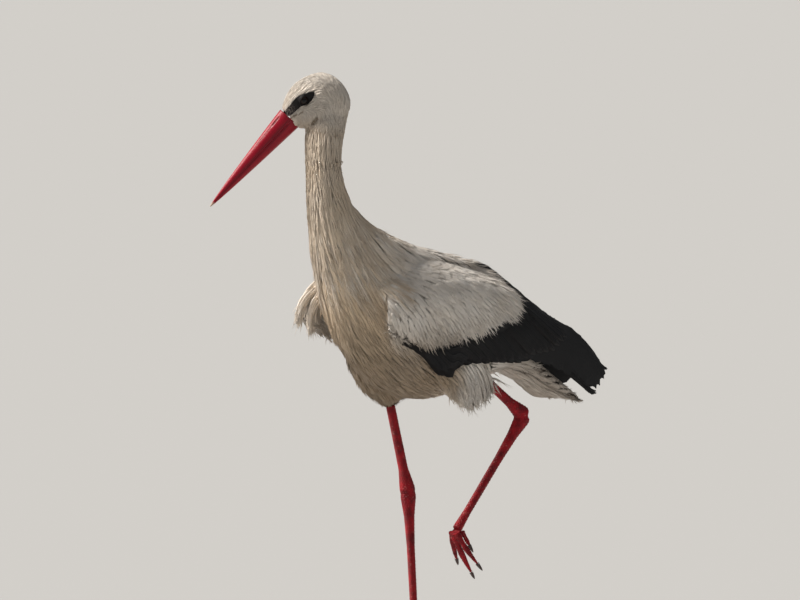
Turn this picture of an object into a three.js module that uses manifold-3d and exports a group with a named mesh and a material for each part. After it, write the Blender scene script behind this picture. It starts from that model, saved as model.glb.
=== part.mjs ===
// A white stork, life size, in mid stride: the right leg carries the bird, the left one swings forward under it,
// and the head is turned to the bird's right and looks down along the bill.
//
// Units are millimetres. +Z is up, the bird faces -Y and its left side is +X. The origin lies on the floor, in the
// middle of the bounding box of the whole bird.
//
// The trunk, neck and head are modelled as one body and parted with thin cuts. The wings, thighs and tail are lofts
// laid against it. The legs, toes, claws, bill and eyes are pieces of their own.

import * as THREE from 'three';
import { LoftGeometry } from 'three/addons/geometries/LoftGeometry.js';
import { mergeVertices } from 'three/addons/utils/BufferGeometryUtils.js';
import Module from 'manifold-3d';

const wasm = await Module();
wasm.setup();

// ---------------------------------------------------------------------------------------------------------------
// Driving dimensions
// ---------------------------------------------------------------------------------------------------------------

const GAP = 0.3; // clearance between pieces that touch
const GROW = 0.4; // how much a piece is grown on every side before it is cut out of its neighbour
const WELD = 1e-3; // points closer than this are one point
const SHARPEST = 0.3; // cosine of the sharpest edge that is still moved out in full as a piece is grown

// Trunk and neck: one spine from the rump to the top of the neck. Each station has its centre (forward, left, up),
// then its half width, its height above the spine and its depth below it, square to the spine.
const SPINE = [
  { at: [-178, 0, 440], wide: 14, above: 12, below: 12 },
  { at: [-165, 0, 436], wide: 30, above: 43, below: 44 },
  { at: [-130, 0, 436], wide: 50, above: 73, below: 60 },
  { at: [-80, 0, 438], wide: 66, above: 93, below: 72 },
  { at: [-20, 0, 444], wide: 76, above: 103, below: 101 },
  { at: [40, 0, 460], wide: 78, above: 105, below: 112 },
  { at: [88, 0, 488], wide: 76, above: 94, below: 98 },
  { at: [128, 0, 524], wide: 64, above: 79, below: 74 },
  { at: [160, -2, 570], wide: 46, above: 54, below: 54 },
  { at: [182, -5, 626], wide: 30, above: 25.5, below: 39 },
  { at: [189, -11, 680], wide: 25, above: 21.5, below: 29 },
  { at: [184, -17, 722], wide: 27, above: 28.5, below: 28.5 },
  { at: [182, -22, 756], wide: 27, above: 43, below: 20 },
];
const BODY_RINGS = 23;
const BODY_SIDES = 20;

// Where the neck is parted: the height of each cut, and how far the cut leans with the neck, in degrees.
const NECK_CUTS = [
  { up: 574, forward: 162, lean: 24 },
  { up: 628, forward: 183, lean: 8 },
  { up: 682, forward: 189, lean: 0 },
  { up: 728, forward: 184, lean: -12 },
];
const NECK_CUT_WIDE = 200; // wider than the neck is anywhere

// Head: it is turned to the bird's right and pitched down, so that its own axis runs along the bill.
const HEAD_AT = [187, -25, 767]; // the middle of the skull
const HEAD_TURN = 35; // to the bird's right, degrees
const HEAD_PITCH = 47; // below the horizon, degrees
// Stations along the head's axis: how far along, half width, height over the axis and depth under it.
const HEAD_STATIONS = [
  { along: -43, wide: 5, over: 8, under: 4 },
  { along: -40, wide: 14, over: 20, under: 18 },
  { along: -32, wide: 22.5, over: 30.5, under: 31.5 },
  { along: -18, wide: 28.5, over: 39, under: 40 },
  { along: 0, wide: 30, over: 44.3, under: 34 },
  { along: 16, wide: 26, over: 43.8, under: 23 },
  { along: 30, wide: 20.5, over: 39.6, under: 14 },
  { along: 42, wide: 15.5, over: 34, under: 6.5 },
  { along: 49, wide: 12.5, over: 31, under: 1.5 },
];
const HEAD_RINGS = 12;
const HEAD_SIDES = 16;

// Eyes, in the head's own frame: along the axis, square to it, and out to each side.
const EYE = { along: 10, over: 21, side: 20.5, radius: 7, sides: 10, rings: 7 };

// Bill: an upper and a lower half that meet at the gape.
const BILL = {
  root: 41, // where it starts and ends along the head's axis
  tip: 206,
  gapeOver: 13.6, // how far the gape lies over the head's axis
  upperDeep: 19, // depth of the upper half at its root
  lowerDeep: 15.5,
  halfWide: 12.2,
  fullness: 0.82, // below 1 the outline bulges a little between root and tip
  tipShare: 0.035, // width of the tip over that of the root
  roundness: 0.9, // 1 is an elliptical section and less is a fuller one
  rings: 9,
  sides: 10,
};

// Wings, given for the left one. Each station runs from a lower edge to an upper edge (left, up), bulges outwards
// between them and has a thickness. The coverts are the white front of the folded wing.
const COVERTS = [
  { forward: 168, low: [74, 462], high: [74, 482], bulge: 10, thick: 6 },
  { forward: 160, low: [73, 446], high: [68, 502], bulge: 24, thick: 15 },
  { forward: 140, low: [74, 436], high: [60, 520], bulge: 30, thick: 20 },
  { forward: 100, low: [80, 428], high: [50, 538], bulge: 30, thick: 22 },
  { forward: 50, low: [82, 429], high: [44, 546], bulge: 30, thick: 22 },
  { forward: 0, low: [83, 438], high: [38, 540], bulge: 28, thick: 21 },
  { forward: -50, low: [79, 447], high: [32, 526], bulge: 25, thick: 19 },
  { forward: -95, low: [70, 454], high: [30, 508], bulge: 19, thick: 14 },
  { forward: -124, low: [59, 461], high: [36, 488], bulge: 9, thick: 7 },
];
const FLIGHT = [
  { forward: 126, low: [72, 438], high: [72, 452], bulge: 3, thick: 5 },
  { forward: 86, low: [75, 412], high: [71, 470], bulge: 7, thick: 8 },
  { forward: 32, low: [76, 385], high: [64, 490], bulge: 9, thick: 10 },
  { forward: 8, low: [75, 398], high: [54, 500], bulge: 15, thick: 12 },
  { forward: -40, low: [73, 399], high: [30, 526], bulge: 22, thick: 13 },
  { forward: -100, low: [69, 393], high: [9, 524], bulge: 26, thick: 14 },
  { forward: -150, low: [62, 389], high: [7, 495], bulge: 24, thick: 14 },
  { forward: -200, low: [54, 374], high: [7, 464], bulge: 20, thick: 13 },
  { forward: -250, low: [46, 352], high: [9, 440], bulge: 14, thick: 11 },
  { forward: -285, low: [38, 338], high: [12, 419], bulge: 9, thick: 9 },
  { forward: -321, low: [26, 360], high: [15, 376], bulge: 3, thick: 5 },
];
const WING_RINGS = 12;
const WING_STEPS = 6; // from the lower edge to the upper one
const WING_EDGE = 0.2; // thickness of a wing's edges over that of its middle

// Tail: a slightly roofed fan from under the wings to its tip.
const TAIL = [
  { forward: -120, up: 402, halfWide: 22, drop: 10, thick: 48 },
  { forward: -165, up: 384, halfWide: 30, drop: 12, thick: 46 },
  { forward: -208, up: 360, halfWide: 35, drop: 15, thick: 37 },
  { forward: -243, up: 343, halfWide: 37, drop: 15, thick: 23 },
  { forward: -262, up: 337, halfWide: 31, drop: 12, thick: 7 },
];
const TAIL_RINGS = 10;
const TAIL_EDGE = 0.25; // thickness of the tail's edges over that of its middle

// Legs. A thigh is the feathered part, from inside the body to where the bare shank leaves it, with its half width and
// how far it reaches to the side that faces forwards when the leg hangs straight down, and to the other side. The
// joints are given as (forward, left, up).
const STANDING = {
  side: 'right',
  thigh: [
    { at: [74, -40, 428], wide: 34, front: 50, back: 44 },
    { at: [62, -37, 388], wide: 33, front: 42, back: 46 },
    { at: [52, -33, 364], wide: 29, front: 35, back: 50 },
    { at: [49.5, -31, 351], wide: 21, front: 25, back: 43 },
    { at: [47.5, -30.5, 343], wide: 15, front: 17, back: 33 },
    { at: [46.5, -30, 337], wide: 9, front: 9.5, back: 9.5 },
  ],
  heel: [22, -20, 214],
  foot: [24, -3, 13],
};
const LIFTED = {
  side: 'left',
  thigh: [
    { at: [62, 40, 432], wide: 34, front: 44, back: 34 },
    { at: [14, 42, 410], wide: 36, front: 48, back: 30 },
    { at: [-26, 42, 395], wide: 31, front: 54, back: 24 },
    { at: [-50, 41, 382], wide: 24, front: 50, back: 16 },
    { at: [-66, 40, 373], wide: 17, front: 42, back: 11 },
    { at: [-78, 40, 364], wide: 8.5, front: 9, back: 9 },
  ],
  heel: [-144, 40, 315],
  foot: [-17, 38, 163],
};
const SHANK_RADIUS = 6.8; // bare tibia, above the heel
const TARSUS_RADIUS = 5.6;
const HEEL = { wide: 10.2, deep: 12.4, reach: 34 }; // the swollen joint, and how far it tapers into the bones
const SHANK_HIDDEN = 10; // how far the bare shank starts inside the thigh
const ANKLE_SWELL = 1.28; // radius of the tarsus at the roots of the toes over its own
const THIGH_RINGS = 8;
const THIGH_SIDES = 12;
const LEG_SIDES = 10;
const TOE_RINGS = 6;
const CLAW_RINGS = 3;
const DIGIT_SIDES = 8;

// Toes: length without the claw, spread from the walking direction (degrees, outwards positive), and root radius.
const TOES = [
  { name: 'hind', length: 24, spread: 172, radius: 4.6 },
  { name: 'inner', length: 50, spread: -36, radius: 5.2 },
  { name: 'middle', length: 68, spread: 0, radius: 5.6 },
  { name: 'outer', length: 55, spread: 33, radius: 5.2 },
];
const TOE_TIP_SHARE = 0.66; // tip radius over root radius
const TOE_JOINT_SWELL = 0.14; // how much the pads between the joints stand out
const TOE_BONE = 22; // length of one toe bone
const SOLE_PRESS = 0.82; // height of a resting toe's middle over its radius, so that its sole is pressed flat
const TOE_ROOT = [ // where a resting toe comes down from the bone: distance out from its middle, height of the sole
  { out: 7, lift: 3.4 },
  { out: 14, lift: 1.2 },
];
const TIP_ROUNDING = 0.45; // how far the last ring of a toe or claw is drawn in
const CLAW_LIFT = 0.1; // height of a resting claw over the floor
const CLAW = { radius: 3.1, beyond: [-2.5, 4, 11] }; // `beyond` is where it runs, counted from the toe's tip
// How the toes of the lifted foot hang: turned down from the walking direction by `turn` degrees, with their spread
// scaled by `closing`, and bent by `curl` degrees in all.
// `ring` is how far out from the bone's middle the toes are rooted and `start` how far below its end.
// `bones` are the shares of a toe's length between its bends, and `hindDrop` is how far the hind toe points down.
const HANGING = {
  turn: 104,
  closing: 0.5,
  curl: 20,
  hindDrop: 60,
  ring: 6.5,
  start: 4,
  bones: [0.12, 0.38, 0.5],
};

// ---------------------------------------------------------------------------------------------------------------
// Materials
// ---------------------------------------------------------------------------------------------------------------

const MATERIALS = {
  plumage: new THREE.MeshStandardMaterial({ color: 0xe4ddd2, roughness: 0.85, metalness: 0 }),
  flight: new THREE.MeshStandardMaterial({ color: 0x0b0c0e, roughness: 0.5, metalness: 0 }),
  bill: new THREE.MeshStandardMaterial({ color: 0xb40e1c, roughness: 0.4, metalness: 0 }),
  leg: new THREE.MeshStandardMaterial({ color: 0xb8141f, roughness: 0.5, metalness: 0 }),
  claw: new THREE.MeshStandardMaterial({ color: 0x3a2622, roughness: 0.45, metalness: 0 }),
  eye: new THREE.MeshStandardMaterial({ color: 0x100c0a, roughness: 0.08, metalness: 0 }),
};

// ---------------------------------------------------------------------------------------------------------------
// Shared shape tools
// ---------------------------------------------------------------------------------------------------------------

const degrees = THREE.MathUtils.degToRad;
const LEFT = new THREE.Vector3(1, 0, 0);
const UP = new THREE.Vector3(0, 0, 1);
const FORWARD = new THREE.Vector3(0, -1, 0);

/** A point given by how far forward, left and up it is. */
function at([forward, left, up]) {
  return new THREE.Vector3(left, -forward, up);
}

/** The point reached from another along a direction. */
function along(point, direction, distance) {
  return point.clone().addScaledVector(direction, distance);
}

/** Moves every vertex of a merged mesh outwards, so that all its faces move out by at least `grow`. */
function growFaces(vertices, triangles, grow) {
  const corner = (k) => new THREE.Vector3().fromArray(vertices, 3 * triangles[k]);
  const normalsAt = Array.from({ length: vertices.length / 3 }, () => []);
  for (let k = 0; k < triangles.length; k += 3) {
    const edge = corner(k + 1).sub(corner(k));
    const normal = edge.cross(corner(k + 2).sub(corner(k))).normalize();
    for (let c = 0; c < 3; c++) normalsAt[triangles[k + c]].push(normal);
  }
  normalsAt.forEach((normals, v) => {
    const outwards = normals.reduce((sum, normal) => sum.add(normal), new THREE.Vector3()).normalize();
    const slant = Math.min(...normals.map((normal) => normal.dot(outwards)));
    const moved = new THREE.Vector3().fromArray(vertices, 3 * v);
    moved.addScaledVector(outwards, grow / Math.max(slant, SHARPEST)).toArray(vertices, 3 * v);
  });
}

/** A closed three.js geometry as a solid, grown on every side by `grow`. */
function solidOf(geometry, grow = 0) {
  const bare = new THREE.BufferGeometry();
  bare.setAttribute('position', geometry.getAttribute('position'));
  bare.setIndex(geometry.index);
  const merged = mergeVertices(bare, WELD);
  const vertProperties = new Float32Array(merged.getAttribute('position').array);
  const triVerts = new Uint32Array(merged.index.array);
  if (grow > 0) growFaces(vertProperties, triVerts, grow);
  return new wasm.Manifold(new wasm.Mesh({ numProp: 3, vertProperties, triVerts }));
}

/** A solid back as a three.js geometry. */
function geometryOf(solid) {
  const mesh = solid.getMesh();
  const geometry = new THREE.BufferGeometry();
  geometry.setAttribute('position', new THREE.BufferAttribute(new Float32Array(mesh.vertProperties), 3));
  geometry.setIndex(new THREE.BufferAttribute(new Uint32Array(mesh.triVerts), 1));
  geometry.computeVertexNormals();
  return geometry;
}

/** The largest piece of a solid, without the slivers that a cut can leave. */
function largest(solid) {
  return solid.decompose().sort((a, b) => b.volume() - a.volume())[0];
}

/** A solid with others cut away from it. */
function cut(solid, ...others) {
  return largest(others.reduce((rest, other) => rest.subtract(other), solid));
}

/** The middle of a ring of points. */
function middleOf(ring) {
  return ring.reduce((sum, point) => sum.add(point), new THREE.Vector3()).divideScalar(ring.length);
}

/** A solid loft through rings of points, closed at both ends. Rings that run the wrong way round are turned. */
function loft(rings, grow = 0) {
  const middle = middleOf(rings[0]);
  const ahead = middleOf(rings[1]).sub(middle);
  const spin = new THREE.Vector3();
  rings[0].forEach((point, j, ring) => {
    const next = ring[(j + 1) % ring.length].clone().sub(middle);
    spin.add(point.clone().sub(middle).cross(next));
  });
  const ordered = spin.dot(ahead) > 0 ? rings : rings.map((ring) => [...ring].reverse());
  return solidOf(new LoftGeometry(ordered, { capStart: true, capEnd: true }), grow);
}

/**
 * Rings round a smooth spine. Each station is {at, wide, above, below}, and the section is a pair of half ellipses
 * that share their width.
 */
function spineRings(stations, ringCount, sides, side = LEFT) {
  const centres = new THREE.CatmullRomCurve3(stations.map((s) => s.at));
  const radii = new THREE.CatmullRomCurve3(
    stations.map((s) => new THREE.Vector3(s.wide, s.above, s.below)),
  );
  return Array.from({ length: ringCount + 1 }, (_, i) => {
    const t = i / ringCount;
    const centre = centres.getPoint(t);
    const ahead = centres.getTangent(t);
    const across = side.clone().addScaledVector(ahead, -side.dot(ahead)).normalize();
    const over = new THREE.Vector3().crossVectors(ahead, across);
    const { x: wide, y: above, z: below } = radii.getPoint(t);
    return Array.from({ length: sides }, (_, j) => {
      const angle = (j / sides) * 2 * Math.PI;
      const height = Math.sin(angle) * (Math.sin(angle) > 0 ? above : below);
      return along(along(centre, across, Math.cos(angle) * wide), over, height);
    });
  });
}

/** A smooth list of numbers: each key of the stations, at ringCount + 1 even steps. */
function smoothStations(stations, keys, ringCount) {
  const curves = keys.map(
    (key) => new THREE.SplineCurve(stations.map((s, i) => new THREE.Vector2(i, key(s)))),
  );
  return Array.from({ length: ringCount + 1 }, (_, i) => curves.map((c) => c.getPoint(i / ringCount).y));
}

/** A thin wide slab round a point, as thick as the gap between two pieces. */
function thinCut(point, normal) {
  const box = new THREE.BoxGeometry(NECK_CUT_WIDE, NECK_CUT_WIDE, GAP);
  box.applyQuaternion(new THREE.Quaternion().setFromUnitVectors(UP, normal));
  box.translate(point.x, point.y, point.z);
  return solidOf(box);
}

// ---------------------------------------------------------------------------------------------------------------
// Head frame
// ---------------------------------------------------------------------------------------------------------------

const facing = new THREE.Vector3(-Math.sin(degrees(HEAD_TURN)), -Math.cos(degrees(HEAD_TURN)), 0);
const headLeft = new THREE.Vector3().crossVectors(UP, facing);
const headAxis = facing
  .clone()
  .multiplyScalar(Math.cos(degrees(HEAD_PITCH)))
  .addScaledVector(UP, -Math.sin(degrees(HEAD_PITCH)));
const headOver = new THREE.Vector3().crossVectors(headAxis, headLeft);

/** A point given in the head's own frame: along its axis, to its left and over the axis. */
function inHead(ahead, left, over) {
  return along(along(along(at(HEAD_AT), headAxis, ahead), headLeft, left), headOver, over);
}

/** The skull with its short feathers, from the nape to the root of the bill. */
function skull(grow = 0) {
  const stations = HEAD_STATIONS.map((s) => ({
    at: inHead(s.along, 0, 0),
    wide: s.wide,
    above: s.over,
    below: s.under,
  }));
  return loft(spineRings(stations, HEAD_RINGS, HEAD_SIDES, headLeft), grow);
}

function eyeball(sign, grow = 0) {
  const centre = inHead(EYE.along, sign * EYE.side, EYE.over);
  const sphere = new THREE.SphereGeometry(EYE.radius, EYE.sides, EYE.rings);
  return solidOf(sphere.translate(centre.x, centre.y, centre.z), grow);
}

/** One half of the bill. `half` is 1 for the upper half and -1 for the lower one. */
function billHalf(half, grow = 0) {
  const deep = half > 0 ? BILL.upperDeep : BILL.lowerDeep;
  const rings = Array.from({ length: BILL.rings + 1 }, (_, i) => {
    const share = i / BILL.rings;
    const taper = THREE.MathUtils.lerp(BILL.tipShare, 1, Math.pow(1 - share, BILL.fullness));
    const ahead = THREE.MathUtils.lerp(BILL.root, BILL.tip, share);
    const over = BILL.gapeOver + (half * GAP) / 2;
    return Array.from({ length: BILL.sides }, (_, j) => {
      const angle = (j / (BILL.sides - 1)) * Math.PI;
      const side = Math.cos(angle) * BILL.halfWide * taper;
      const height = Math.pow(Math.sin(angle), BILL.roundness) * deep * taper;
      return inHead(ahead, side, over + half * height);
    });
  });
  return loft(rings, grow);
}

// ---------------------------------------------------------------------------------------------------------------
// Trunk, neck and head
// ---------------------------------------------------------------------------------------------------------------

function trunkAndNeck(grow = 0) {
  const stations = SPINE.map((s) => ({ ...s, at: at(s.at) }));
  return loft(spineRings(stations, BODY_RINGS, BODY_SIDES), grow);
}

/** The whole body with the bill and eyes let into it, parted across the neck, from the trunk up to the head. */
function fleshPieces() {
  const whole = trunkAndNeck()
    .add(skull())
    .subtract(eyeball(1, GROW))
    .subtract(eyeball(-1, GROW))
    .subtract(billHalf(1, GROW))
    .subtract(billHalf(-1, GROW));
  const cuts = NECK_CUTS.map(({ up, forward, lean }) => {
    const normal = new THREE.Vector3(0, -Math.sin(degrees(lean)), Math.cos(degrees(lean)));
    return thinCut(at([forward, 0, up]), normal);
  });
  const parted = cuts.reduce((rest, slab) => rest.subtract(slab), whole);
  const heightOf = (piece) => piece.boundingBox().min[2] + piece.boundingBox().max[2];
  return parted
    .decompose()
    .sort((a, b) => b.volume() - a.volume())
    .slice(0, NECK_CUTS.length + 1)
    .sort((a, b) => heightOf(a) - heightOf(b));
}

// ---------------------------------------------------------------------------------------------------------------
// Wings and tail
// ---------------------------------------------------------------------------------------------------------------

/** A curved slab from a lower edge to an upper edge, bulging outwards, as one ring of points. */
function slabRing(forward, low, high, bulge, thick, sign) {
  const chord = high.clone().sub(low);
  const outwards = new THREE.Vector2(chord.y, -chord.x).normalize();
  const points = (depth) =>
    Array.from({ length: WING_STEPS + 1 }, (_, k) => {
      const share = k / WING_STEPS;
      const arch = Math.sin(share * Math.PI);
      const body = Math.max(Math.sqrt(Math.abs(arch)), WING_EDGE);
      const out = bulge * arch - depth * thick * body;
      const point = low.clone().addScaledVector(chord, share).addScaledVector(outwards, out);
      return at([forward, sign * point.x, point.y]);
    });
  return [...points(0), ...points(1).reverse()];
}

function wingSlab(stations, sign, grow = 0) {
  const keys = [
    (s) => s.forward,
    (s) => s.low[0],
    (s) => s.low[1],
    (s) => s.high[0],
    (s) => s.high[1],
    (s) => s.bulge,
    (s) => s.thick,
  ];
  const rings = smoothStations(stations, keys, WING_RINGS).map(
    ([forward, lowLeft, lowUp, highLeft, highUp, bulge, thick]) => {
      const low = new THREE.Vector2(lowLeft, lowUp);
      const high = new THREE.Vector2(highLeft, highUp);
      return slabRing(forward, low, high, bulge, thick, sign);
    },
  );
  return loft(rings, grow);
}

/** Both pieces of a wing, as cutters. */
function grownWing(sign) {
  return [COVERTS, FLIGHT].map((stations) => wingSlab(stations, sign, GROW));
}

function tailFan() {
  const keys = [(s) => s.forward, (s) => s.up, (s) => s.halfWide, (s) => s.drop, (s) => s.thick];
  const across = Array.from({ length: WING_STEPS + 1 }, (_, k) => (2 * k) / WING_STEPS - 1);
  const rings = smoothStations(TAIL, keys, TAIL_RINGS).map(([forward, up, halfWide, drop, thick]) => {
    const top = across.map((x) => at([forward, x * halfWide, up + thick / 2 - drop * x * x]));
    const bottom = across.map((x) => {
      const body = Math.sqrt(1 - (1 - TAIL_EDGE ** 2) * x * x);
      return at([forward, x * halfWide, up + thick / 2 - drop * x * x - thick * body]);
    });
    return [...top, ...bottom.reverse()];
  });
  return loft(rings);
}

// ---------------------------------------------------------------------------------------------------------------
// Legs
// ---------------------------------------------------------------------------------------------------------------

function thighLoft(leg, grow = 0) {
  const stations = leg.thigh.map((s) => ({ at: at(s.at), wide: s.wide, above: s.front, below: s.back }));
  return loft(spineRings(stations, THIGH_RINGS, THIGH_SIDES), grow);
}

/** A straight limb. Its profile lists a share of its length, the half width there and the half depth. */
function limb(start, end, profile, grow = 0) {
  const axis = end.clone().sub(start);
  const ahead = axis.clone().normalize();
  const side = LEFT.clone().addScaledVector(ahead, -LEFT.dot(ahead)).normalize();
  const over = new THREE.Vector3().crossVectors(ahead, side);
  const rings = profile.map(([share, wide, deep = wide]) =>
    Array.from({ length: LEG_SIDES }, (_, j) => {
      const angle = (j / LEG_SIDES) * 2 * Math.PI;
      const centre = along(start, axis, share);
      return along(along(centre, side, Math.cos(angle) * wide), over, Math.sin(angle) * deep);
    }),
  );
  return loft(rings, grow);
}

/** The bare lower part of the shank, from inside the thigh down to the heel. */
function shank(leg, grow = 0) {
  const top = at(leg.thigh.at(-1).at);
  const heel = at(leg.heel);
  const ahead = heel.clone().sub(top).normalize();
  const start = along(top, ahead, -SHANK_HIDDEN);
  const end = along(heel, ahead, -GAP / 2);
  const heelTop = 1 - HEEL.reach / start.distanceTo(end);
  const profile = [
    [0, SHANK_RADIUS],
    [0.4, SHANK_RADIUS],
    [heelTop, SHANK_RADIUS, SHANK_RADIUS * 1.08],
    [THREE.MathUtils.lerp(heelTop, 1, 0.5), HEEL.wide * 0.86, HEEL.deep * 0.84],
    [THREE.MathUtils.lerp(heelTop, 1, 0.85), HEEL.wide, HEEL.deep],
    [1, HEEL.wide * 0.95, HEEL.deep * 0.95],
  ];
  return limb(start, end, profile, grow);
}

/** The long bone under the heel, down to the roots of the toes. */
function tarsus(leg, grow = 0) {
  const heel = at(leg.heel);
  const foot = at(leg.foot);
  const ahead = foot.clone().sub(heel).normalize();
  const start = along(heel, ahead, GAP / 2);
  const heelEnd = HEEL.reach / start.distanceTo(foot);
  const profile = [
    [0, HEEL.wide * 0.95, HEEL.deep * 0.95],
    [heelEnd * 0.2, HEEL.wide, HEEL.deep],
    [heelEnd, TARSUS_RADIUS * 1.25, TARSUS_RADIUS * 1.5],
    [heelEnd * 2.2, TARSUS_RADIUS, TARSUS_RADIUS * 1.15],
    [0.84, TARSUS_RADIUS * 0.96, TARSUS_RADIUS * 1.05],
    [0.95, TARSUS_RADIUS * 1.2],
    [1, TARSUS_RADIUS * ANKLE_SWELL],
  ];
  return limb(start, foot, profile, grow);
}

/**
 * A tapering toe or claw along a curve. A resting one is given by the heights of its sole: its middle is set over
 * them, and what would be under the floor is pressed flat against it.
 */
function digit({ points, rootRadius, tipRadius, ringCount, swells = 0, resting }, grow = 0) {
  const curve = new THREE.CatmullRomCurve3(points);
  const rings = Array.from({ length: ringCount + 1 }, (_, i) => {
    const share = i / ringCount;
    const centre = curve.getPoint(share);
    const ahead = curve.getTangent(share);
    const side = new THREE.Vector3().crossVectors(resting ? UP : FORWARD, ahead).normalize();
    const over = new THREE.Vector3().crossVectors(ahead, side);
    const pad = swells > 0 ? 1 + TOE_JOINT_SWELL * Math.cos(share * swells * 2 * Math.PI) : 1;
    const round = i === ringCount ? TIP_ROUNDING : 1;
    const radius = THREE.MathUtils.lerp(rootRadius, tipRadius, share) * pad * round;
    if (resting) centre.z += radius * SOLE_PRESS;
    return Array.from({ length: DIGIT_SIDES }, (_, j) => {
      const angle = ((j + 0.5) / DIGIT_SIDES) * 2 * Math.PI;
      const point = along(along(centre, side, Math.cos(angle) * radius), over, Math.sin(angle) * radius);
      if (resting) point.z = Math.max(point.z, 0);
      return point;
    });
  });
  return loft(rings, grow);
}

/** Where a toe of the standing foot runs, and its claw: two lists of points with the heights of the sole. */
function restingPaths(toe, root, level) {
  const run = (out, lift) => along(new THREE.Vector3(root.x, root.y, lift), level, out);
  return {
    points: [...TOE_ROOT.map(({ out, lift }) => run(out, lift)), run(toe.length / 2, 0), run(toe.length, 0)],
    claw: CLAW.beyond.map((beyond) => run(toe.length + beyond, CLAW_LIFT)),
  };
}

/** Where a toe of the lifted foot hangs, and its claw. */
function hangingPaths(toe, root, rim, spread) {
  const isHind = toe.name === 'hind';
  const turn = degrees(isHind ? -HANGING.hindDrop : HANGING.turn);
  const curl = degrees(isHind ? 0 : HANGING.curl);
  const bend = (angle) => {
    const straight = new THREE.Vector3(0, -Math.cos(angle), -Math.sin(angle));
    return straight.multiplyScalar(Math.cos(spread)).addScaledVector(LEFT, Math.sin(spread));
  };
  const points = [along(along(root, rim, HANGING.ring), bend(turn), HANGING.start)];
  HANGING.bones.forEach((share, i) => {
    const angle = turn + (curl * (i + 1)) / HANGING.bones.length;
    points.push(along(points.at(-1), bend(angle), share * toe.length));
  });
  const tip = points.at(-1);
  const ahead = tip.clone().sub(points.at(-2)).normalize();
  return { points, claw: CLAW.beyond.map((beyond) => along(tip, ahead, beyond)) };
}

/** The toes and claws of a foot, each as the shape that digit() takes. */
function digitsOf(leg) {
  const root = at(leg.foot);
  const outwards = leg.side === 'left' ? 1 : -1;
  const resting = leg === STANDING;
  return TOES.map((toe) => {
    const spread = degrees(toe.spread) * outwards;
    const rim = new THREE.Vector3(Math.sin(spread), -Math.cos(spread), 0);
    const closed = toe.name === 'hind' ? spread : spread * HANGING.closing;
    const paths = resting ? restingPaths(toe, root, rim) : hangingPaths(toe, root, rim, closed);
    return {
      name: toe.name,
      toe: {
        points: paths.points,
        rootRadius: toe.radius,
        tipRadius: toe.radius * TOE_TIP_SHARE,
        ringCount: TOE_RINGS,
        swells: Math.round(toe.length / TOE_BONE),
        resting,
      },
      claw: {
        points: paths.claw,
        rootRadius: CLAW.radius,
        tipRadius: CLAW.radius / 2,
        ringCount: CLAW_RINGS,
        resting,
      },
    };
  });
}

// ---------------------------------------------------------------------------------------------------------------
// Assembly
// ---------------------------------------------------------------------------------------------------------------

const stork = new THREE.Group();

function addPiece(name, solid, material) {
  const mesh = new THREE.Mesh(geometryOf(solid), MATERIALS[material]);
  mesh.name = name;
  stork.add(mesh);
}

function addBody() {
  const wings = [1, -1].flatMap(grownWing);
  const names = ['trunk', 'neck_lower', 'neck_middle', 'neck_upper', 'head'];
  fleshPieces().forEach((piece, i) => {
    addPiece(names[i], i < 2 ? cut(piece, ...wings) : piece, 'plumage');
  });
}

function addHeadParts() {
  addPiece('bill_upper', billHalf(1), 'bill');
  addPiece('bill_lower', billHalf(-1), 'bill');
  addPiece('eye_left', eyeball(1), 'eye');
  addPiece('eye_right', eyeball(-1), 'eye');
}

function addWings() {
  for (const [side, sign] of [['left', 1], ['right', -1]]) {
    addPiece(`wing_${side}_coverts`, wingSlab(COVERTS, sign), 'plumage');
    addPiece(`wing_${side}_flight`, cut(wingSlab(FLIGHT, sign), wingSlab(COVERTS, sign, GROW)), 'flight');
  }
}

function addTail() {
  const wings = [1, -1].map((sign) => wingSlab(FLIGHT, sign, GROW));
  addPiece('tail', cut(tailFan(), trunkAndNeck(GROW), ...wings), 'plumage');
}

function addLegs() {
  for (const leg of [STANDING, LIFTED]) {
    const wing = grownWing(leg.side === 'left' ? 1 : -1);
    addPiece(`thigh_${leg.side}`, cut(thighLoft(leg), trunkAndNeck(GROW), ...wing), 'plumage');
    addPiece(`shank_${leg.side}`, cut(shank(leg), thighLoft(leg, GROW), trunkAndNeck(GROW)), 'leg');
    addPiece(`tarsus_${leg.side}`, cut(tarsus(leg), shank(leg, GROW)), 'leg');
    const earlier = [tarsus(leg, GROW)];
    for (const { name, toe, claw } of digitsOf(leg)) {
      const grown = digit(toe, GROW);
      addPiece(`toe_${leg.side}_${name}`, cut(digit(toe), ...earlier), 'leg');
      addPiece(`claw_${leg.side}_${name}`, cut(digit(claw), grown), 'claw');
      earlier.push(grown);
    }
  }
}

/** Moves the whole bird so that the origin is on the floor, in the middle of its bounding box. */
function centreOnFloor() {
  const box = new THREE.Box3().setFromObject(stork, true);
  const middle = box.getCenter(new THREE.Vector3());
  stork.position.set(-middle.x, -middle.y, -box.min.z);
  return stork;
}

addBody();
addHeadParts();
addWings();
addTail();
addLegs();

export default centreOnFloor();
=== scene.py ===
"""White stork, life size, in mid stride: its skin, plumage, bill, eyes, scaly legs and claws.

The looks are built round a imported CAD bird, which gives the outline and the size of every part. The skin is
one mesh that stands for all the flesh. The feathers are solid vanes rooted on it, and their tips reach the
CAD outline.
"""

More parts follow.
